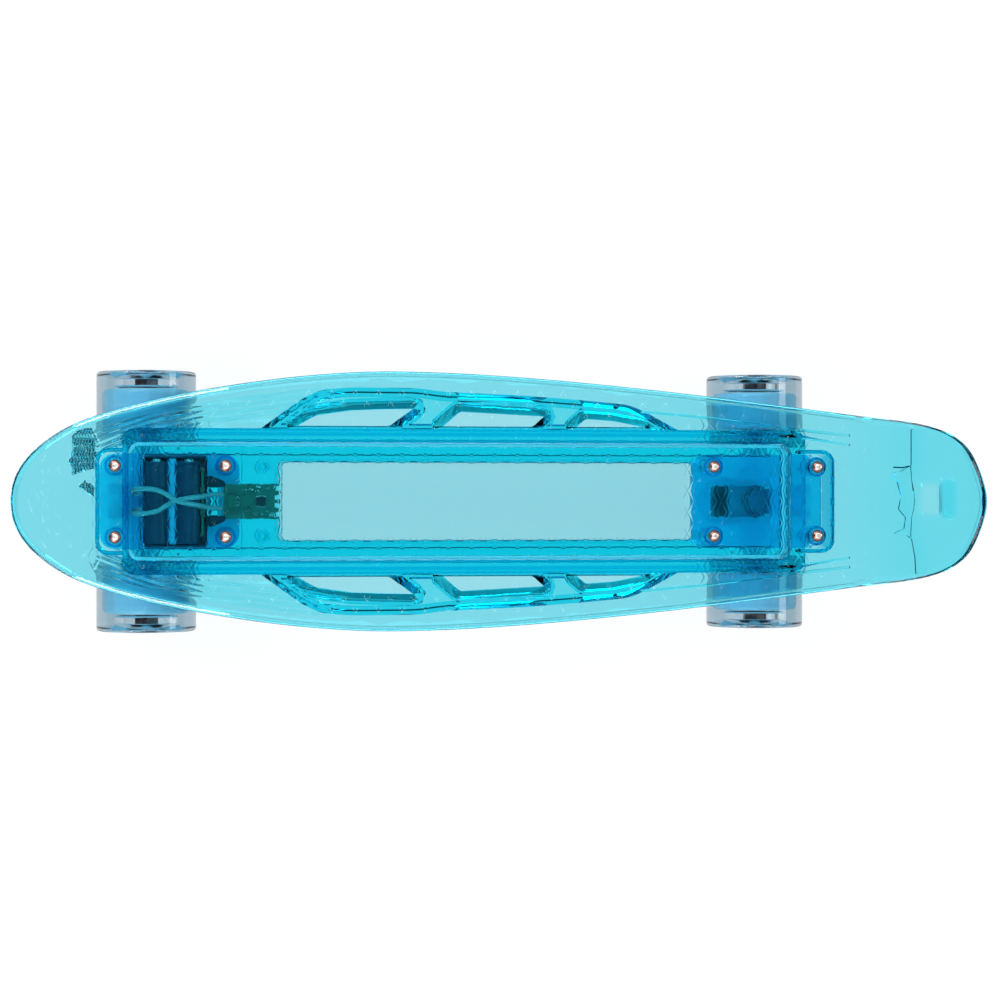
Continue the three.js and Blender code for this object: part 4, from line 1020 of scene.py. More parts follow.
def buildGuide():
    upper = areaLines(guideLedge, (0.04, 0.12, 0.24, 0.4))
    upper += [(circle(*guide["gateAt"], radius), True) for radius in guide["gateRadii"]]
    lower = areaLines(guideStep, guide["stepInsets"])
    piece = shellPiece("lightGuide", [areaLoop(guideLedge)], upper, lower, guideUpper, guideLower)
    smoothShade(piece, 40)
    dress(piece, "board", ["light_guide"], "guide_plastic", finishes["guide"])


def buildSeal():
    # a pale cord on the cover's rim, along both sides and round the tail end
    loop = areaLoop(cover, seal["inset"])
    middle = loop[np.argsort(np.arctan2(loop[:, 1], loop[:, 0] - cover["start"] - 40))]
    middle = middle[(middle[:, 0] > cover["start"] + 2) | (np.abs(middle[:, 1]) > seal["open"])]
    ahead = np.gradient(middle, axis=0)
    ahead /= np.linalg.norm(ahead, axis=1)[:, None]
    points = []
    for place, along in zip(middle, ahead):
        for k in range(seal["sides"]):
            turn = 2 * math.pi * k / seal["sides"]
            out = seal["wide"] / 2 * math.cos(turn)
            level = seal["low"] + seal["tall"] / 2 * (1 + math.sin(turn))
            points.append((place[0] + along[1] * out, place[1] - along[0] * out, level))
    piece = linked("coverSeal", meshFrom("coverSeal", points, tubeFaces(len(middle), seal["sides"])))
    smoothShade(piece, 60, weighted=False)
    dress(piece, "board", [], "guide_plastic", finishes["seal"])


buildCover()
buildGuide()
buildSeal()
print("light box built")


# Battery, boards, button and leads

tray = {"start": -210.6, "end": -173.9, "side": 26.75, "low": 85.4, "top": 86.3, "wallSteps": (0, 0.1, 1.2, 1.4),
        "wallTop": 95.3, "slot": (-196.3, -191.9, 21.0)}
battery = {"places": (-203.3, -184.6), "middle": -0.75, "height": 93.6, "half": 24.0}


def trayUpper(points):
    near = tray["side"] - np.abs(points[:, 1])
    share = np.interp(near, tray["wallSteps"], [0.98, 1, 1, 0])
    return tray["top"] + (tray["wallTop"] - tray["top"]) * share


def buildTray():
    start, end, side = tray["start"], tray["end"], tray["side"]
    loops = [roundRect(start, end, side, 1.2, steps=4), roundRect(*tray["slot"][:2], tray["slot"][2], 1.5)]
    upper = [(np.array([(start + 0.4, y), (end - 0.4, y)]), False)
             for near in tray["wallSteps"][1:] for y in (side - near - 0.02, near + 0.02 - side)]
    piece = shellPiece("batteryTray", loops, upper, [], trayUpper, lambda p: np.full(len(p), tray["low"]))
    smoothShade(piece, 30)
    dress(piece, "board", ["battery_tray"], "battery_dark", finishes["tray"])
    shape = bmesh.new()
    near, far = tray["slot"][0] + 0.25, tray["slot"][1] - 0.05
    softBox(shape, (near, -21.6, 85.15), (far, 21.6, 92.4), 0.35)
    for side in (-1, 1):
        softBox(shape, (near - 0.15, side * 23.1 - 1.9, 86.35), (far + 0.15, side * 23.1 + 1.9, 93.2), 0.3)
    piece = boxesPiece("trayDivider", shape)
    dress(piece, "board", [], "cover_plastic", finishes["divider"])


def buildFoam():
    # two dark foam wedges between the battery and the circuit board
    for name, side in (("left", -1), ("right", 1)):
        outline = [(-173.4, side * 8.2), (-173.4, side * 14.6), (-171.5, side * 14.9), (-163.4, side * 11.6),
                   (-162.9, side * 8.4)]
        loop = roundedCorners(outline, 1.2)
        piece = prism("foamWedge_" + name, loop.tolist(), 85.2, 93.4)
        bevel = piece.modifiers.new("edges", "BEVEL")
        bevel.width, bevel.segments, bevel.limit_method = 0.4 * mm, 2, "ANGLE"
        applied(piece)
        smoothShade(piece, 40)
        dress(piece, "board", [], "battery_dark", finishes["foam"])


def buildCell(name, place):
    half, middle = battery["half"], battery["middle"]
    profile = [(-half, 0), (-half, 5.4), (-half + 0.12, 5.9), (-half + 0.1, 6.5), (-half + 0.5, 6.95),
               (-half + 1.2, 7.0), (half - 3.4, 7.0), (half - 3.0, 6.82), (half - 2.5, 6.82), (half - 2.1, 7.0),
               (half - 0.8, 7.0), (half - 0.25, 6.85), (half, 6.3), (half - 0.3, 5.4), (half - 0.3, 3.4),
               (half + 0.2, 2.8), (half + 1.2, 2.7), (half + 1.5, 2.3), (half + 1.5, 0)]
    piece = lathe(name, (place, middle, battery["height"]), across, profile, 56)
    for face in piece.data.polygons:
        y = face.center.y / mm - middle
        face.material_index = 1 if y > half - 0.32 or y < 0.02 - half else 0
    smoothShade(piece, 30)
    dress(piece, "board", ["battery_cell_" + name[-1]], "battery_dark", finishes["battery"], finishes["steel"])


def buildChargeBoard():
    shape = bmesh.new()
    softBox(shape, (-177.3, -20, 86.6), (-175.7, 20, 96.6), 0.15, 0)
    for step in (-1, 0, 1):
        softBox(shape, (-175.65, step * 14 - 3.5, 89.5), (-174.4, step * 14 + 3.5, 94.0), 0.25, 1)
    for k in range(12):
        softBox(shape, (-175.68, -18.6 + 3.1 * k, 87.5), (-175.2, -17.4 + 3.1 * k, 88.6), 0.1, 2)
    piece = boxesPiece("chargeBoard", shape)
    dress(piece, "board", ["charge_board"], "circuit_green", finishes["board"], finishes["chip"],
          finishes["steel"])


def buildCircuitBoard():
    rng = random.Random(7)
    low, top = 88.4, 90.0
    shape = bmesh.new()
    softBox(shape, (-163.9, -10.25, low), (-131.3, 10.25, top), 0.15, 0)
    for k in range(4):
        y = (k - 1.5) * 5.1
        softBox(shape, (-134.1, y - 1.4, top - 0.1), (-131.5, y + 1.4, top + 1.3), 0.2, 2)
        softBox(shape, (-132.0, y - 1.0, top + 0.2), (-131.3, y + 1.0, top + 1.1), 0.1, 3)
    softBox(shape, (-145.3, -2.5, top - 0.1), (-139.3, 2.5, top + 1.1), 0.2, 1)
    for side in (-1, 1):
        for k in range(4):
            softBox(shape, (-144.6 + 1.4 * k, side * 2.5 - 0.8, top - 0.1),
                    (-144.1 + 1.4 * k, side * 2.5 + 0.8, top + 0.35), 0.08, 3)
    softBox(shape, (-161.9, -4, top - 0.1), (-156.9, 4, top + 2.8), 0.3, 0)
    for k in range(3):
        softBox(shape, (-157.2, -2.6 + 2.1 * k, top - 0.1), (-155.4, -1.6 + 2.1 * k, top + 0.6), 0.1, 3)
    softBox(shape, (-144.8, -2.5, low - 0.9), (-139.8, 2.5, low + 0.1), 0.2, 1)
    for k in range(26):
        x, y = rng.uniform(-154, -135.5), rng.choice((-1, 1)) * rng.uniform(3.6, 9.3)
        wide, deep = rng.choice(((1.0, 0.5), (0.5, 1.0), (1.6, 0.8)))
        softBox(shape, (x - wide / 2, y - deep / 2, top - 0.05), (x + wide / 2, y + deep / 2, top + 0.45),
                0.08, rng.choice((1, 2, 3)))
    piece = boxesPiece("circuitBoard", shape)
    dress(piece, "board", ["circuit_board"], "circuit_green", finishes["board"], finishes["chip"],
          finishes["lamp"], finishes["steel"])
    shape = bmesh.new()
    softBox(shape, (-164.2, -7.6, 92.85), (-153.4, 7.6, 93.15), 0.08)
    for side in (-1, 1):
        softBox(shape, (-164.2, side * 7.75 - 0.15, 90.1), (-153.4, side * 7.75 + 0.15, 93.1), 0.08)
    piece = boxesPiece("boardTape", shape)
    dress(piece, "board", [], "guide_plastic", finishes["guide"])


def buildButton():
    x, y = button["place"]
    profile = [(81.4, 0), (81.55, 2.0), (81.4, 3.6), (81.55, 4.15), (81.95, 4.4), (85.4, 4.4), (85.4, 5.9),
               (85.5, 6.0), (86.0, 6.0), (86.1, 5.9), (86.1, 0)]
    piece = lathe("powerButton", (x, y, 0), (0, 0, 1), profile, 48)
    smoothShade(piece, 30)
    dress(piece, "button", ["power_button"], "button_plastic", finishes["button"])


# from the middle of the front truck, and down from the deck's top
leadRoutes = {
    "positive": [(-16.3, 4.5, -17.5), (-19.2, 4.8, -17), (-21.6, 5.6, -13), (-21, 6.8, -8), (-16.5, 7.4, -4.8),
                 (-8, 6.6, -4.45), (-1, 3.4, -4.45), (4, 0.2, -4.45), (10.6, -1.3, -4.45), (16.5, -2.4, -4.9),
                 (22.5, -3.6, -9), (27, -4, -13.6), (31, -4, -16.2)],
    "negative": [(-16.3, -4.5, -17.5), (-19.2, -4.8, -17), (-21.6, -5.6, -13), (-21, -6.8, -8),
                 (-16.5, -7.2, -4.8), (-8, -5.8, -4.45), (-2.6, -2.6, -5.2), (1.3, -0.6, -6.9), (5, 0.8, -5.6),
                 (10.6, 1.9, -4.45), (16.5, 2.6, -4.9), (22.5, 3.6, -9), (27, 4, -13.6), (31, 4, -16.2)],
}
lead = {"wide": 2.8, "thick": 1.3, "steps": 150, "sides": 16, "strand": 0.13, "strands": 5, "twist": 9,
        "strandWide": 0.3, "strandThick": 0.25}


def smoothRoute(points, count):
    # a Catmull-Rom line through the points, at even steps
    points = [Vector(p) for p in points]
    points = [points[0] * 2 - points[1]] + points + [points[-1] * 2 - points[-2]]
    dense = []
    for a, b, c, d in zip(points, points[1:], points[2:], points[3:]):
        for k in range(24):
            t = k / 24
            dense.append(0.5 * ((2 * b) + (c - a) * t + (2 * a - 5 * b + 4 * c - d) * t ** 2
                                + (3 * b - a - 3 * c + d) * t ** 3))
    dense.append(points[-2])
    length = np.concatenate([[0], np.cumsum([(q - p).length for p, q in zip(dense, dense[1:])])])
    flat = np.array(dense)
    at = np.linspace(0, length[-1], count)
    return np.column_stack([np.interp(at, length, flat[:, i]) for i in range(3)]), float(length[-1])


def crossAxes(way):
    # two directions square to a lead's own: sideways and up
    way = Vector(way).normalized()
    side = way.cross(Vector((0, 0, 1)))
    side = side.normalized() if side.length > 0.05 else across.copy()
    return side, side.cross(way).normalized()


def sweep(line, wide, thick, sides):
    # rings of an oval section along a line, closed at both ends
    points = []
    for place, way in zip(line, np.gradient(line, axis=0)):
        side, up = crossAxes(way)
        if side.y < 0:
            side, up = -side, -up
        for k in range(sides):
            turn = 2 * math.pi * k / sides
            points.append(Vector(place) + side * (wide / 2 * math.cos(turn)) + up * (thick / 2 * math.sin(turn)))
    return points, tubeFaces(len(line), sides)


def buildLead(name):
    route = [(x - 195.3, y, deck["top"] + z) for x, y, z in leadRoutes[name]]
    line, length = smoothRoute(route, lead["steps"])
    piece = linked(name + "Lead", meshFrom(name, *sweep(line, lead["wide"], lead["thick"], lead["sides"])))
    smoothShade(piece, 50, weighted=False)
    dress(piece, "board", ["lead_" + name], "lead_sleeve", finishes["sleeve"])
    wires, wireFaces = [], []
    for strand in range(lead["strands"]):
        turns = np.linspace(0, lead["twist"] * 2 * math.pi, lead["steps"]) + strand * 2 * math.pi / lead["strands"]
        core = []
        for place, way, turn in zip(line, np.gradient(line, axis=0), turns):
            side, up = crossAxes(way)
            core.append(Vector(place) + side * (lead["strandWide"] * math.cos(turn))
                        + up * (lead["strandThick"] * math.sin(turn)))
        more, moreFaces = sweep(np.array(core), 2 * lead["strand"], 2 * lead["strand"], 6)
        wireFaces += [tuple(i + len(wires) for i in face) for face in moreFaces]
        wires += more
    wire = linked(name + "Strands", meshFrom(name + "Strands", wires, wireFaces))
    smoothShade(wire, 60, weighted=False)
    dress(wire, "board", [], "lead_sleeve", finishes["copper"])


buildTray()
buildFoam()
for number, place in enumerate(battery["places"], 1):
    buildCell("batteryCell_" + str(number), place)
buildChargeBoard()
buildCircuitBoard()
buildButton()
buildLead("positive")
buildLead("negative")
print("electrics built")


# Deck bolts

# centre is the radius of the painted highlight on a bolt head
bolt = {"head": 3.6, "dome": 3.05, "centre": 1.95, "headLow": 106.3, "headHigh": 108.7, "shank": 2.4, "tip": 68.8,
        "nutLow": 71.8, "nutHigh": 76.4, "flats": 8.0, "pitch": 0.8}


def hexNut(name, origin, direction, low, high, flats, bore):
    # a six sided nut with turned corners and a bore
    direction = Vector(direction).normalized()
    reach = flats / 2 / math.cos(math.radians(30))
    body = lathe(name, origin, direction, [(low, 0), (low, reach), (high, reach), (high, 0)], 6)
    chamfer = (reach - flats / 2) * 0.62
    cone = lathe("cone", origin, direction, [
        (low - 0.01, 0), (low - 0.01, flats / 2 - 0.1), (low + chamfer, reach), (high - chamfer, reach),
        (high + 0.01, flats / 2 - 0.1), (high + 0.01, 0)], 48)
    carved(body, [cone], "INTERSECT")
    hole = lathe("hole", origin, direction, [
        (low - 1, 0), (low - 1, bore + 1), (low, bore + 0.5), (low + 0.5, bore), (high - 0.5, bore),
        (high, bore + 0.5), (high + 1, bore + 1), (high + 1, 0)], 40)
    return carved(body, [hole], "DIFFERENCE")


def threadProfile(low, high, radius, pitch, depth):
    rows, at = [], low
    while at + pitch < high:
        rows += [(at, radius - depth), (at + 0.25 * pitch, radius), (at + 0.5 * pitch, radius),
                 (at + 0.75 * pitch, radius - depth)]
        at += pitch
    return rows


def makeBoltMesh():
    head, dome, low, high = bolt["head"], bolt["dome"], bolt["headLow"], bolt["headHigh"]
    brim = [(low, head - 0.25), (low + 0.12, head), (low + 0.45, head), (low + 0.6, head - 0.15), (low + 0.62, dome)]
    for k in range(1, 10):
        turn = math.radians(k * 10)
        brim.append((low + 0.62 + (high - low - 0.62) * math.sin(turn) ** 0.85, dome * math.cos(turn) ** 0.7))
    profile = [(bolt["tip"], 0), (bolt["tip"], 1.7)]
    profile += threadProfile(bolt["tip"] + 0.4, bolt["nutHigh"] + 6, bolt["shank"], bolt["pitch"], 0.32)
    profile += [(low, bolt["shank"])] + brim + [(high, 0)]
    body = lathe("deckBolt", (0, 0, 0), (0, 0, 1), profile, 48)
    cross = []
    for turn in (0, 90):
        corners = [(-1.35, 0), (-0.35, -1.1), (0.35, -1.1), (1.35, 0), (1.35, 2), (-1.35, 2)]
        arm = prism("arm", corners, -0.27, 0.27, "xz")
        arm.data.transform(Matrix.Translation((0, 0, (high - 0.15) * mm)) @ Matrix.Rotation(
            math.radians(turn + 20), 4, "Z"))
        cross.append(arm)
    carved(body, cross, "DIFFERENCE")
    nut = hexNut("nut", (0, 0, 0), (0, 0, 1), bolt["nutLow"], bolt["nutHigh"], bolt["flats"],
                 bolt["shank"] + 0.05)
    mesh = joined("deckBolt", [body, nut])
    # the head's faces by radius: a painted highlight in the middle, a rosy ring of painted reflection round it, and a
    # dark brim of painted shade
    for face in mesh.polygons:
        reach, level = math.hypot(*face.center[:2]) / mm, face.center[2] / mm
        if level > low - 0.01:
            face.material_index = 0 if reach < bolt["centre"] else 1 if reach < dome + 0.01 else 2
    return mesh


boltMesh = makeBoltMesh()
for number, (x, y) in enumerate(boltAt, 1):
    place = Matrix.Translation((x * mm, y * mm, 0)) @ Matrix.Rotation(0.9 * number, 4, "Z")
    piece = placedCopy("deckBolt_" + str(number), boltMesh, place)
    smoothShade(piece, 32)
    dress(piece, "board", ["deck_bolt_" + str(number)], "bolt_steel", finishes["bright"], finishes["rosy"],
          finishes["black"])
print("bolts built")


# Trucks, in their own axes: x outwards, z up from the top of the baseplate

tilt = math.radians(25)
pinDown = Vector((-math.sin(tilt), 0, -math.cos(tilt)))
pinOut = Vector((math.cos(tilt), 0, -math.sin(tilt)))
seat, pivot, axleAt = Vector((-2, 0, -14.5)), Vector((26.5, 0, -12.5)), Vector((12.5, 0, -52.2))
onPin = {"washer": 0.3, "boardBushing": 2.1, "ring": 15.4, "roadBushing": 21.7, "roadWasher": 32.5,
         "nut": 34.3, "nutEnd": 42.3, "end": 44.0, "radius": 4.75, "headTop": -5.3, "flats": 14.0, "nutBore": 5.05}
hanger = {"ring": 15.0, "ringThick": 6.0, "tubeMiddle": 10.0, "tubeEnd": 7.0, "tubeReach": 43.65,
          "middleReach": 12.0, "collar": 6.0, "stem": 8.0, "arm": 10.0}
bushing = {"radius": 12.5, "boardHeight": 13.0, "roadHeight": 10.5, "roadEnd": 9.4}
trucks = {"front": (-195.3, True), "rear": (158.3, False)}
trucksTop = 82.2
ringCentre = seat + pinDown * (onPin["ring"] + hanger["ringThick"] / 2)
pivotWay = (pivot - ringCentre).normalized()


def roundTwo(first, firstRadius, second, secondRadius, steps=14):
    along = second - first
    heading = math.atan2(along.z, along.x)
    swing = math.acos((firstRadius - secondRadius) / along.length)
    points = []
    for centre, radius, start, end in ((first, firstRadius, heading + swing, heading - swing + 2 * math.pi),
                                       (second, secondRadius, heading - swing, heading + swing)):
        for k in range(steps + 1):
            turn = start + (end - start) * k / steps
            points.append((centre.x + radius * math.cos(turn), centre.z + radius * math.sin(turn)))
    return points


baseplate = {"half": 41.0, "side": 28.5, "corner": 10.0, "thick": 5.5, "seatSide": 13.0, "slotSide": 9.5,
             "slotStart": -28.5, "slotBend": -16.0, "slotEnd": 9.5, "slotDepth": 29.0, "boss": 10.0, "pocket": 7.5}


def makeBaseplateMesh():
    half, side = baseplate["half"], baseplate["slotSide"]
    flange = prism("baseplate", roundRect(-half, half, baseplate["side"], baseplate["corner"]).tolist(),
                   -baseplate["thick"], 0)
    inner, outer = seat - pinOut * 18, seat + pinOut * 11
    block = prism("seat", [(inner.x, -2), (inner.x, inner.z), (outer.x, outer.z), (outer.x, -2)],
                  -baseplate["seatSide"], baseplate["seatSide"], "xz")
    boss = rod("boss", pivot - pivotWay * 2, pivot + pivotWay * 9.6, baseplate["boss"])
    carved(flange, [block, boss], "UNION")
    pocket = rod("pocket", pivot - pivotWay * 12, pivot + pivotWay * 7.1, baseplate["pocket"])
    start, bend, end, deep = (baseplate[key] for key in ("slotStart", "slotBend", "slotEnd", "slotDepth"))
    upper, slope = seat - pinDown * 5, pinOut.z / pinOut.x
    slot = prism("slot", [(start, 1), (start, -deep), (bend, -deep), (bend, upper.z + slope * (bend - upper.x)),
                          (end, upper.z + slope * (end - upper.x)), (end, 1)], -side, side, "xz")
    trim = prism("trim", [(-90, -60), (90, -60), (90, 60), (-90, 60)], 0, 60)
    pin = rod("pin", seat - pinDown * 6, seat + pinDown * 1, onPin["radius"] + 0.3)
    cutters = [pocket, slot, trim, pin]
    cutters += [rod("hole", (x, y, -8), (x, y, 2), holeRadius, 28) for x in (-31.75, 31.75) for y in (-20.65, 20.65)]
    carved(flange, cutters, "DIFFERENCE")
    mesh = keptMesh(softened(flange, 0.6))
    # the slot's upward facing floor takes the darker second finish: painted shade in the slot
    for face in mesh.polygons:
        x, y, z = (c / mm for c in face.center)
        if bend - 1 < x < end + 0.1 and abs(y) < side + 0.1 and z < -0.6 and face.normal.z > 0.4:
            face.material_index = 1
    return mesh


def makeHangerMesh():
    reach, collar = hanger["tubeReach"], hanger["collar"]
    small, big, middle = hanger["tubeEnd"], hanger["tubeMiddle"], hanger["middleReach"]
    tube = lathe("hanger", axleAt, across, [
        (-reach, 0), (-reach, small), (collar - reach, small), (-middle - 12, big - 1), (-middle, big),
        (middle, big), (middle + 12, big - 1), (reach - collar, small), (reach, small), (reach, 0)], 56)
    root = pivot - pivotWay * 9
    stem = prism("stem", roundTwo(root, 5, axleAt, big), -hanger["stem"], hanger["stem"], "xz")
    nose = lathe("nose", root, pivotWay, [(0, 0), (0, 5)] + [
        (9 + 5 * math.sin(math.radians(10 * k)), 5 * math.cos(math.radians(10 * k))) for k in range(10)], 40)
    ring = rod("ring", ringCentre - pinDown * 3, ringCentre + pinDown * 3, hanger["ring"], 56)
    arm = prism("arm", roundTwo(ringCentre + pinOut * 9, 3, axleAt, big), -hanger["arm"], hanger["arm"], "xz")
    toRing = ringCentre - axleAt
    side = Vector((-toRing.z, 0, toRing.x)).normalized() * 2.2
    webs = []
    for y in (-1, 1):
        corners = [(0.1, 2), (0.1, 34), (0.3, 30), (0.62, 15), (0.9, 9), (0.9, 2)]
        points = [axleAt + toRing * t + Vector((0, y * w, 0)) + side * s for s in (-1, 1) for t, w in corners]
        webs.append(linked("web", meshFrom("web", points, tubeFaces(2, len(corners)))))
    carved(tube, [stem, nose, ring, arm] + webs, "UNION")
    # softened before the bores are cut, because the finished casting is too open inside for a voxel skin
    softened(tube, 0.65)
    cutters = [
        rod("relief", seat, seat + pinDown * onPin["ring"], 13.2, 48),
        rod("relief", seat + pinDown * 21.4, seat + pinDown * (onPin["nut"] + 14), 13.2, 48),
        rod("bore", seat, seat + pinDown * onPin["nut"], 8.5),
        rod("bore", axleAt - across * 60, axleAt + across * 60, 4.3),
    ]
    return keptMesh(carved(tube, cutters, "DIFFERENCE"))


def makeBushingMesh(low, height, endRadius):
    # as wide as the board's bushing at its seat, and tapered to its other end
    bore, wide = onPin["radius"] + 0.3, bushing["radius"]
    profile = [(low, bore), (low, wide - 1.2), (low + 0.35, wide - 0.35), (low + 1.2, wide)]
    middle = (wide + endRadius) / 2 - 0.9
    for k in range(1, 10):
        t = k / 10
        curve = (1 - t) ** 2 * wide + 2 * t * (1 - t) * (2 * middle - (wide + endRadius) / 2) + t ** 2 * endRadius
        profile.append((low + 1.2 + (height - 2.4) * t, curve))
    profile += [(low + height - 1.2, endRadius), (low + height - 0.35, endRadius - 0.35),
                (low + height, endRadius - 1.2), (low + height, bore)]
    return keptMesh(lathe("bushing", seat, pinDown, profile, 56))


def makeWasherMesh(low):
    bore = onPin["radius"] + 0.3
    profile = [(low, bore), (low, 11.6), (low, 12.6), (low + 0.3, 13.0), (low + 1.2, 13.0), (low + 1.5, 12.6),
               (low + 1.5, 11.6), (low + 1.5, bore)]
    return keptMesh(lathe("washer", seat, pinDown, profile, 56))


def makeKingpinMesh():
    r, end, low = onPin["radius"], onPin["end"], onPin["headTop"]
    profile = [(low - 2.7, 0), (low - 2.7, r), (24, r), *threadProfile(24, end - 1, r, 1.1, 0.4), (end, r - 0.9),
               (end, 0)]
    shank = lathe("kingpin", seat, pinDown, profile, 44)
    head = hexNut("head", seat, pinDown, low - 5.5, low, onPin["flats"], 0.6)
    plug = lathe("plug", seat, pinDown, [(low - 5.2, 0), (low - 5.2, 1.5), (low - 1, 1.5), (low - 1, 0)], 24)
    return joined("kingpin", [shank, head, plug])


def makeCupMesh():
    inner, outer = 5.3, 7.2
    profile = [(6.8, 0), (6.8, outer - 0.4), (6.4, outer), (-1.6, outer), (-2.0, outer - 0.4), (-2.0, inner)]
    profile += [(inner * math.sin(math.radians(15 * k)), inner * math.cos(math.radians(15 * k))) for k in range(7)]
    return keptMesh(lathe("cup", pivot, pivotWay, profile, 44))


def makeAxleMesh():
    end, r = 76.0, 4.0
    side = [(end - 9.5, r), *threadProfile(end - 9, end - 0.8, r, 1.0, 0.35), (end, r - 0.8), (end, 0)]
    back = [(-distance, radius) for distance, radius in reversed(side)]
    return keptMesh(lathe("axle", axleAt, across, back + side, 40))


# each mesh of a truck, with its material slot and finish
truckParts = {
    "baseplate": (makeBaseplateMesh(), "truck_plastic", "truck"),
    "hanger": (makeHangerMesh(), "truck_plastic", "hanger"),
    "pivot_cup": (makeCupMesh(), "truck_plastic", "truck"),
    "kingpin": (makeKingpinMesh(), "axle_steel", "darkSteel"),
    "axle": (makeAxleMesh(), "axle_steel", "steel"),
    "kingpin_nut": (keptMesh(hexNut("nut", seat, pinDown, onPin["nut"], onPin["nutEnd"], onPin["flats"],
                                    onPin["nutBore"])),
                    "axle_steel", "steel"),
    "washer_board": (makeWasherMesh(onPin["washer"]), "axle_steel", "black"),
    "washer_road": (makeWasherMesh(onPin["roadWasher"]), "axle_steel", "steel"),
    "bushing_board": (makeBushingMesh(onPin["boardBushing"], bushing["boardHeight"], bushing["radius"]),
                      "bushing_rubber", "rubber"),
    "bushing_road": (makeBushingMesh(onPin["roadBushing"], bushing["roadHeight"], bushing["roadEnd"]),
                     "bushing_rubber", "rubber"),
}
# distances down the pin where a bushing keeps still with the board, and where it leans with the hanger
bushingBends = {"bushing_board": (4.0, 14.0), "bushing_road": (30.5, 22.8)}


def truckPlace(name):
    place, flipped = trucks[name]
    turn = Matrix.Rotation(math.pi if flipped else 0, 4, "Z")
    return Matrix.Translation((place * mm, 0, trucksTop * mm)) @ turn


for truck in trucks:
    for part, (mesh, slotName, finishName) in truckParts.items():
        piece = placedCopy(truck + "_" + part + "_body", mesh, truckPlace(truck))
        cast = part in ("baseplate", "hanger")
        smoothShade(piece, 50 if cast else 32, weighted=not cast)
        body = truck + "_truck" if part in ("hanger", "axle") else "board"
        if part in bushingBends:
            still, leaning = (truckPlace(truck) @ ((seat + pinDown * down) * mm) for down in bushingBends[part])
            body = ("board", truck + "_truck", still, leaning)
        # the baseplate's second finish paints shade on its slot floor
        extra = [finishes["seat"]] if part == "baseplate" else []
        dress(piece, body, [truck + "_" + part], slotName, finishes[finishName], *extra)
print("trucks built")


# Wheels, with distances along the axle from the middle of the wheel, outwards positive

wheel = {"radius": 30.0, "half": 22.25, "centre": 56.05, "bearing": 11.0, "bearingAt": 8.5, "bearingWidth": 7.0,
         "seatEnd": 13.2, "recess": 13.2, "coreRadius": 17.8, "coreHalf": 11.7, "spokes": 12, "spokeDepth": 0.018,
         "nutHeight": 7.0, "nutFlats": 13.0, "nutBore": 4.1}


def mirroredLathe(name, origin, side, sides):
    # side is the outer half of a profile along the axle, and the inner half mirrors it
    profile = side + [(-distance, radius) for distance, radius in reversed(side)]
    return keptMesh(lathe(name, origin, across, profile, sides))


def makeTyreMesh():
    # one clear body from the tread down to the bearings' bore, with a recess for the nut at each side
    r, half, seat = wheel["radius"], wheel["half"], wheel["bearing"] + 0.2
    lip = [(0.9, 1.0), (0.925, 0.998), (0.95, 0.993), (0.97, 0.984), (0.988, 0.967), (1.0, 0.945), (1.0, 0.925),
           (0.994, 0.905), (0.985, 0.89), (0.795, 0.462), (0.785, 0.448), (0.77, 0.441)]
    side = [(out * half, share * r) for out, share in lip]
    side += [(wheel["seatEnd"] + 0.5, wheel["recess"]), (wheel["seatEnd"], wheel["recess"] - 0.4),
             (12.4, seat + 0.3), (12.2, seat), (4.7, seat), (4.7, 8.2)]
    return mirroredLathe("tyre", (0, 0, 0), side, 96)


def makeCoreMesh():
    # the opaque blue hub that is moulded into the clear body, with spokes' grooves along it
    half, radius, seat = wheel["coreHalf"], wheel["coreRadius"], wheel["bearing"] + 0.6
    side = [(half - 2.6, radius), (half - 1.2, radius - 0.5), (half - 0.3, radius - 1.4), (half, radius - 2.6),
            (half, seat + 0.2), (half - 0.2, seat)]
    mesh = mirroredLathe("core", (0, 0, 0), side, 96)
    for vertex in mesh.vertices:
        if math.hypot(vertex.co.x, vertex.co.z) / mm > radius - 1.0:
            turn = math.atan2(vertex.co.x, vertex.co.z)
            shrink = 1 - wheel["spokeDepth"] * (0.5 - 0.5 * math.cos(wheel["spokes"] * turn))
            vertex.co.x *= shrink
            vertex.co.z *= shrink
    return mesh


def makeBearingMesh():
    half = wheel["bearingWidth"] / 2
    side = [(half - 0.3, 11.0), (half, 10.7), (half, 9.6), (half - 0.35, 9.4), (half - 0.35, 6.3), (half, 6.1),
            (half, 4.6), (half - 0.3, 4.3)]
    return mirroredLathe("bearing", (0, 0, 0), side, 64)


nutLow = wheel["bearingAt"] + wheel["bearingWidth"] / 2 + 0.3
tyreMesh, coreMesh, bearingMesh = makeTyreMesh(), makeCoreMesh(), makeBearingMesh()
axleNutMesh = keptMesh(hexNut("axleNut", (0, 0, 0), across, nutLow, nutLow + wheel["nutHeight"], wheel["nutFlats"],
                              wheel["nutBore"]))


def wheelPiece(name, mesh, place, body, nodes, slotName, finishName):
    piece = placedCopy(name, mesh, place)
    smoothShade(piece, 32)
    dress(piece, body, nodes, slotName, finishes[finishName])


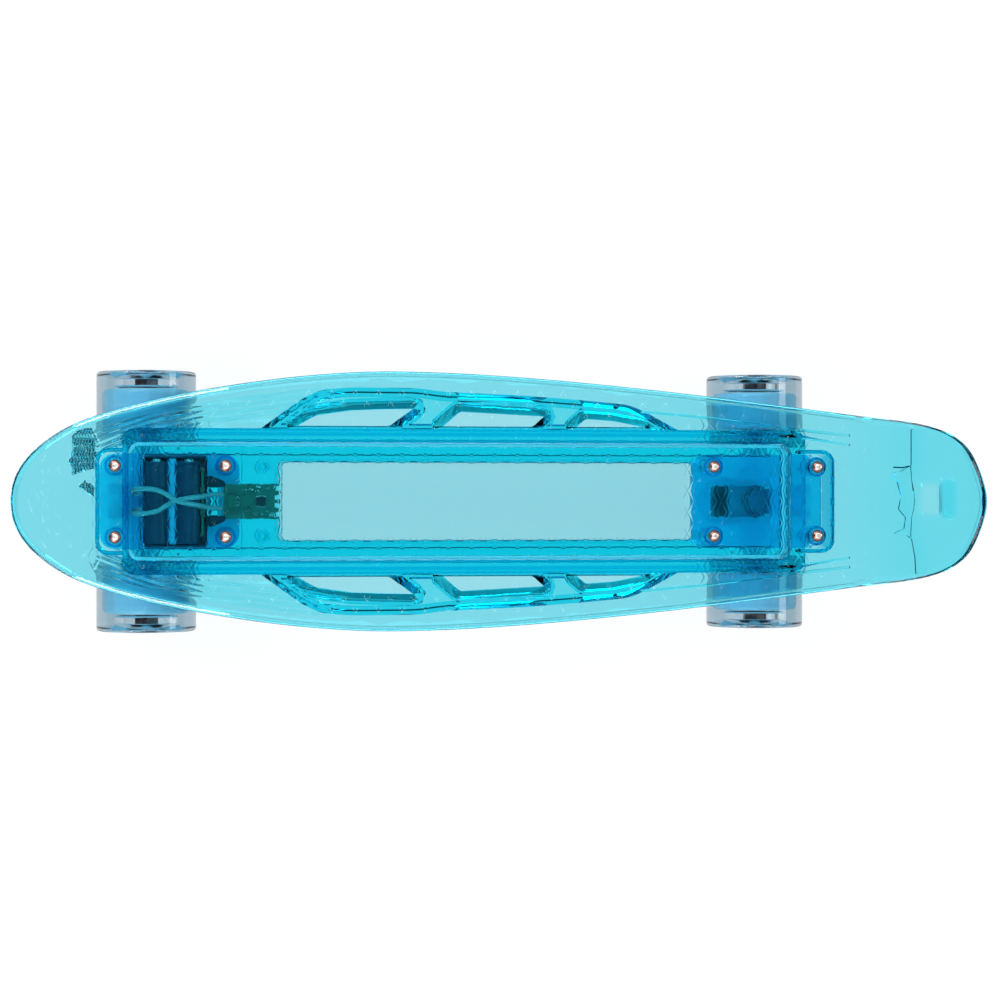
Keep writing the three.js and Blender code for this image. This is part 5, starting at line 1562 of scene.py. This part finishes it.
for truck in trucks:
    for sideName, sign in (("left", -1), ("right", 1)):
        prefix = truck + "_" + sideName
        centre = truckPlace(truck) @ (axleAt * mm)
        place = Matrix.Translation((centre.x, sign * wheel["centre"] * mm, centre.z))
        place = place @ Matrix.Rotation(math.pi if sign < 0 else 0, 4, "Z")
        roller = prefix + "_roller"
        wheelPiece(prefix + "_tyre", tyreMesh, place, roller, [prefix + "_wheel"], "wheel_urethane", "tyre")
        wheelPiece(prefix + "_core", coreMesh, place, roller, [], "wheel_urethane", "core")
        for end, shift in (("outer", 1), ("inner", -1)):
            at = place @ Matrix.Translation((0, shift * wheel["bearingAt"] * mm, 0))
            wheelPiece(prefix + "_bearing_" + end + "_body", bearingMesh, at, roller, [prefix + "_bearing_" + end],
                       "bearing_steel", "darkSteel")
        wheelPiece(prefix + "_nut_body", axleNutMesh, place, truck + "_truck", [prefix + "_axle_nut"], "axle_steel",
                   "nut")
print("wheels built")


# Floor, sky and lamps

studio = {"floor": 5.0, "keep": 0.86, "sky": 0.75, "dark": 0.08, "ends": 0.3,
          "poolLong": 0.31, "poolWide": 0.105, "poolEdge": 0.18, "poolDim": 0.26}


def shownRays(tree, rays):
    # 1 for the rays that meet the background straight, through clear plastic or in a reflection
    through = mathNode(tree, "MAXIMUM", rays["Is Camera Ray"], rays["Is Transmission Ray"])
    return mathNode(tree, "MAXIMUM", through, rays["Is Glossy Ray"])


def easedRange(tree, value, low, high, first, last):
    return addNode(tree, "ShaderNodeMapRange", interpolation_type="SMOOTHSTEP", Value=value, From_Min=low,
                   From_Max=high, To_Min=first, To_Max=last).outputs[0]


def buildFloor():
    size = studio["floor"] / mm
    corners = [(-size, -size, 0), (size, -size, 0), (size, size, 0), (-size, size, 0)]
    floor = linked("floorSheet", meshFrom("floorSheet", corners, [(0, 1, 2, 3)]))
    material, tree, out = emptyMaterial("paleFloor")
    noise = addNode(tree, "ShaderNodeTexNoise", (-400, 200), Scale=30.0, Detail=4.0)
    tone = mixColours(tree, noise.outputs[0], (0.84, 0.84, 0.84, 1), (0.8, 0.8, 0.8, 1))
    paint = addNode(tree, "ShaderNodeBsdfDiffuse", (0, 200), Color=tone)
    rays = addNode(tree, "ShaderNodeLightPath", (-600, -200)).outputs
    share = mathNode(tree, "MULTIPLY", shownRays(tree, rays), studio["keep"])
    # a painted pool of light: away from the board the sheet's glow into clear plastic dims, so that clear edges show
    # as dark lines
    spot = addNode(tree, "ShaderNodeSeparateXYZ", Vector=tree.nodes.new("ShaderNodeTexCoord").outputs["Object"])
    along, beside = (mathNode(tree, "SUBTRACT", mathNode(tree, "ABSOLUTE", spot.outputs[k], 0.0), reach)
                     for k, reach in ((0, studio["poolLong"]), (1, studio["poolWide"])))
    away = mathNode(tree, "MAXIMUM", along, beside)
    fall = easedRange(tree, away, 0.0, studio["poolEdge"], 1.0, studio["poolDim"])
    level = mathNode(tree, "MAXIMUM", fall, rays["Is Camera Ray"])
    glow = addNode(tree, "ShaderNodeEmission", Strength=level)
    sheet = mixShaders(tree, share, paint.outputs[0], glow.outputs[0], (200, 0))
    under = addNode(tree, "ShaderNodeBsdfTransparent", (200, -200))
    back = addNode(tree, "ShaderNodeNewGeometry", (-600, 0)).outputs["Backfacing"]
    tree.links.new(mixShaders(tree, back, sheet, under.outputs[0], (400, 0)), out.inputs["Surface"])
    floor.data.materials.append(material)


def buildSky():
    world = bpy.data.worlds.new("studioSky")
    bpy.context.scene.world = world
    world.use_nodes = True
    tree = world.node_tree
    tree.nodes.clear()
    out = addNode(tree, "ShaderNodeOutputWorld", (600, 0))
    rays = addNode(tree, "ShaderNodeLightPath", (-600, 400)).outputs
    way = addNode(tree, "ShaderNodeTexCoord", (-600, 0)).outputs["Generated"]
    split = addNode(tree, "ShaderNodeSeparateXYZ", (-400, 0), Vector=way)
    # it darkens overhead, and the ends of the studio are darker than its sides
    overhead = easedRange(tree, split.outputs[2], 0.12, 0.55, 1.0, studio["dark"])
    sides = easedRange(tree, mathNode(tree, "ABSOLUTE", split.outputs[1], 0.0), 0.1, 0.6, studio["ends"], 1.0)
    lit = mathNode(tree, "MAXIMUM", mathNode(tree, "MULTIPLY", overhead, sides), rays["Is Camera Ray"])
    plain = addNode(tree, "ShaderNodeBackground", (200, 200), Color=(1, 1, 1, 1), Strength=studio["sky"])
    shown = addNode(tree, "ShaderNodeBackground", (200, 0), Color=lit, Strength=1.0)
    mix = mixShaders(tree, shownRays(tree, rays), plain.outputs[0], shown.outputs[0], (400, 0))
    tree.links.new(mix, out.inputs["Surface"])


def addLamp(name, place, aim, size, power):
    data = bpy.data.lights.new(name, "AREA")
    data.shape = "RECTANGLE"
    data.size, data.size_y = size
    data.energy = power
    lamp = bpy.data.objects.new(name, data)
    lamp.location = place
    lamp.rotation_euler = (Vector(aim) - Vector(place)).to_track_quat("-Z", "Y").to_euler()
    bpy.context.scene.collection.objects.link(lamp)


buildFloor()
buildSky()
overBoard, noseward = (0, 0, 0.1), (-0.2, 0, 0.1)
addLamp("leftSoftbox", (0.0, -0.55, 1.6), overBoard, (1.4, 0.35), 7.0)
addLamp("rightSoftbox", (0.0, 0.55, 1.6), overBoard, (1.4, 0.35), 7.0)
addLamp("tailSoftbox", (1.6, 0.2, 1.0), overBoard, (0.8, 0.6), 7.0)
addLamp("leftStrip", (-0.72, -1.1, 0.7), noseward, (0.95, 0.16), 9.0)
addLamp("rightStrip", (-0.72, 1.1, 0.7), noseward, (0.95, 0.16), 9.0)
print("studio ready")

scene = bpy.context.scene
scene.view_settings.view_transform = "Standard"
scene.cycles.max_bounces = scene.cycles.transmission_bounces = scene.cycles.transparent_max_bounces = 28
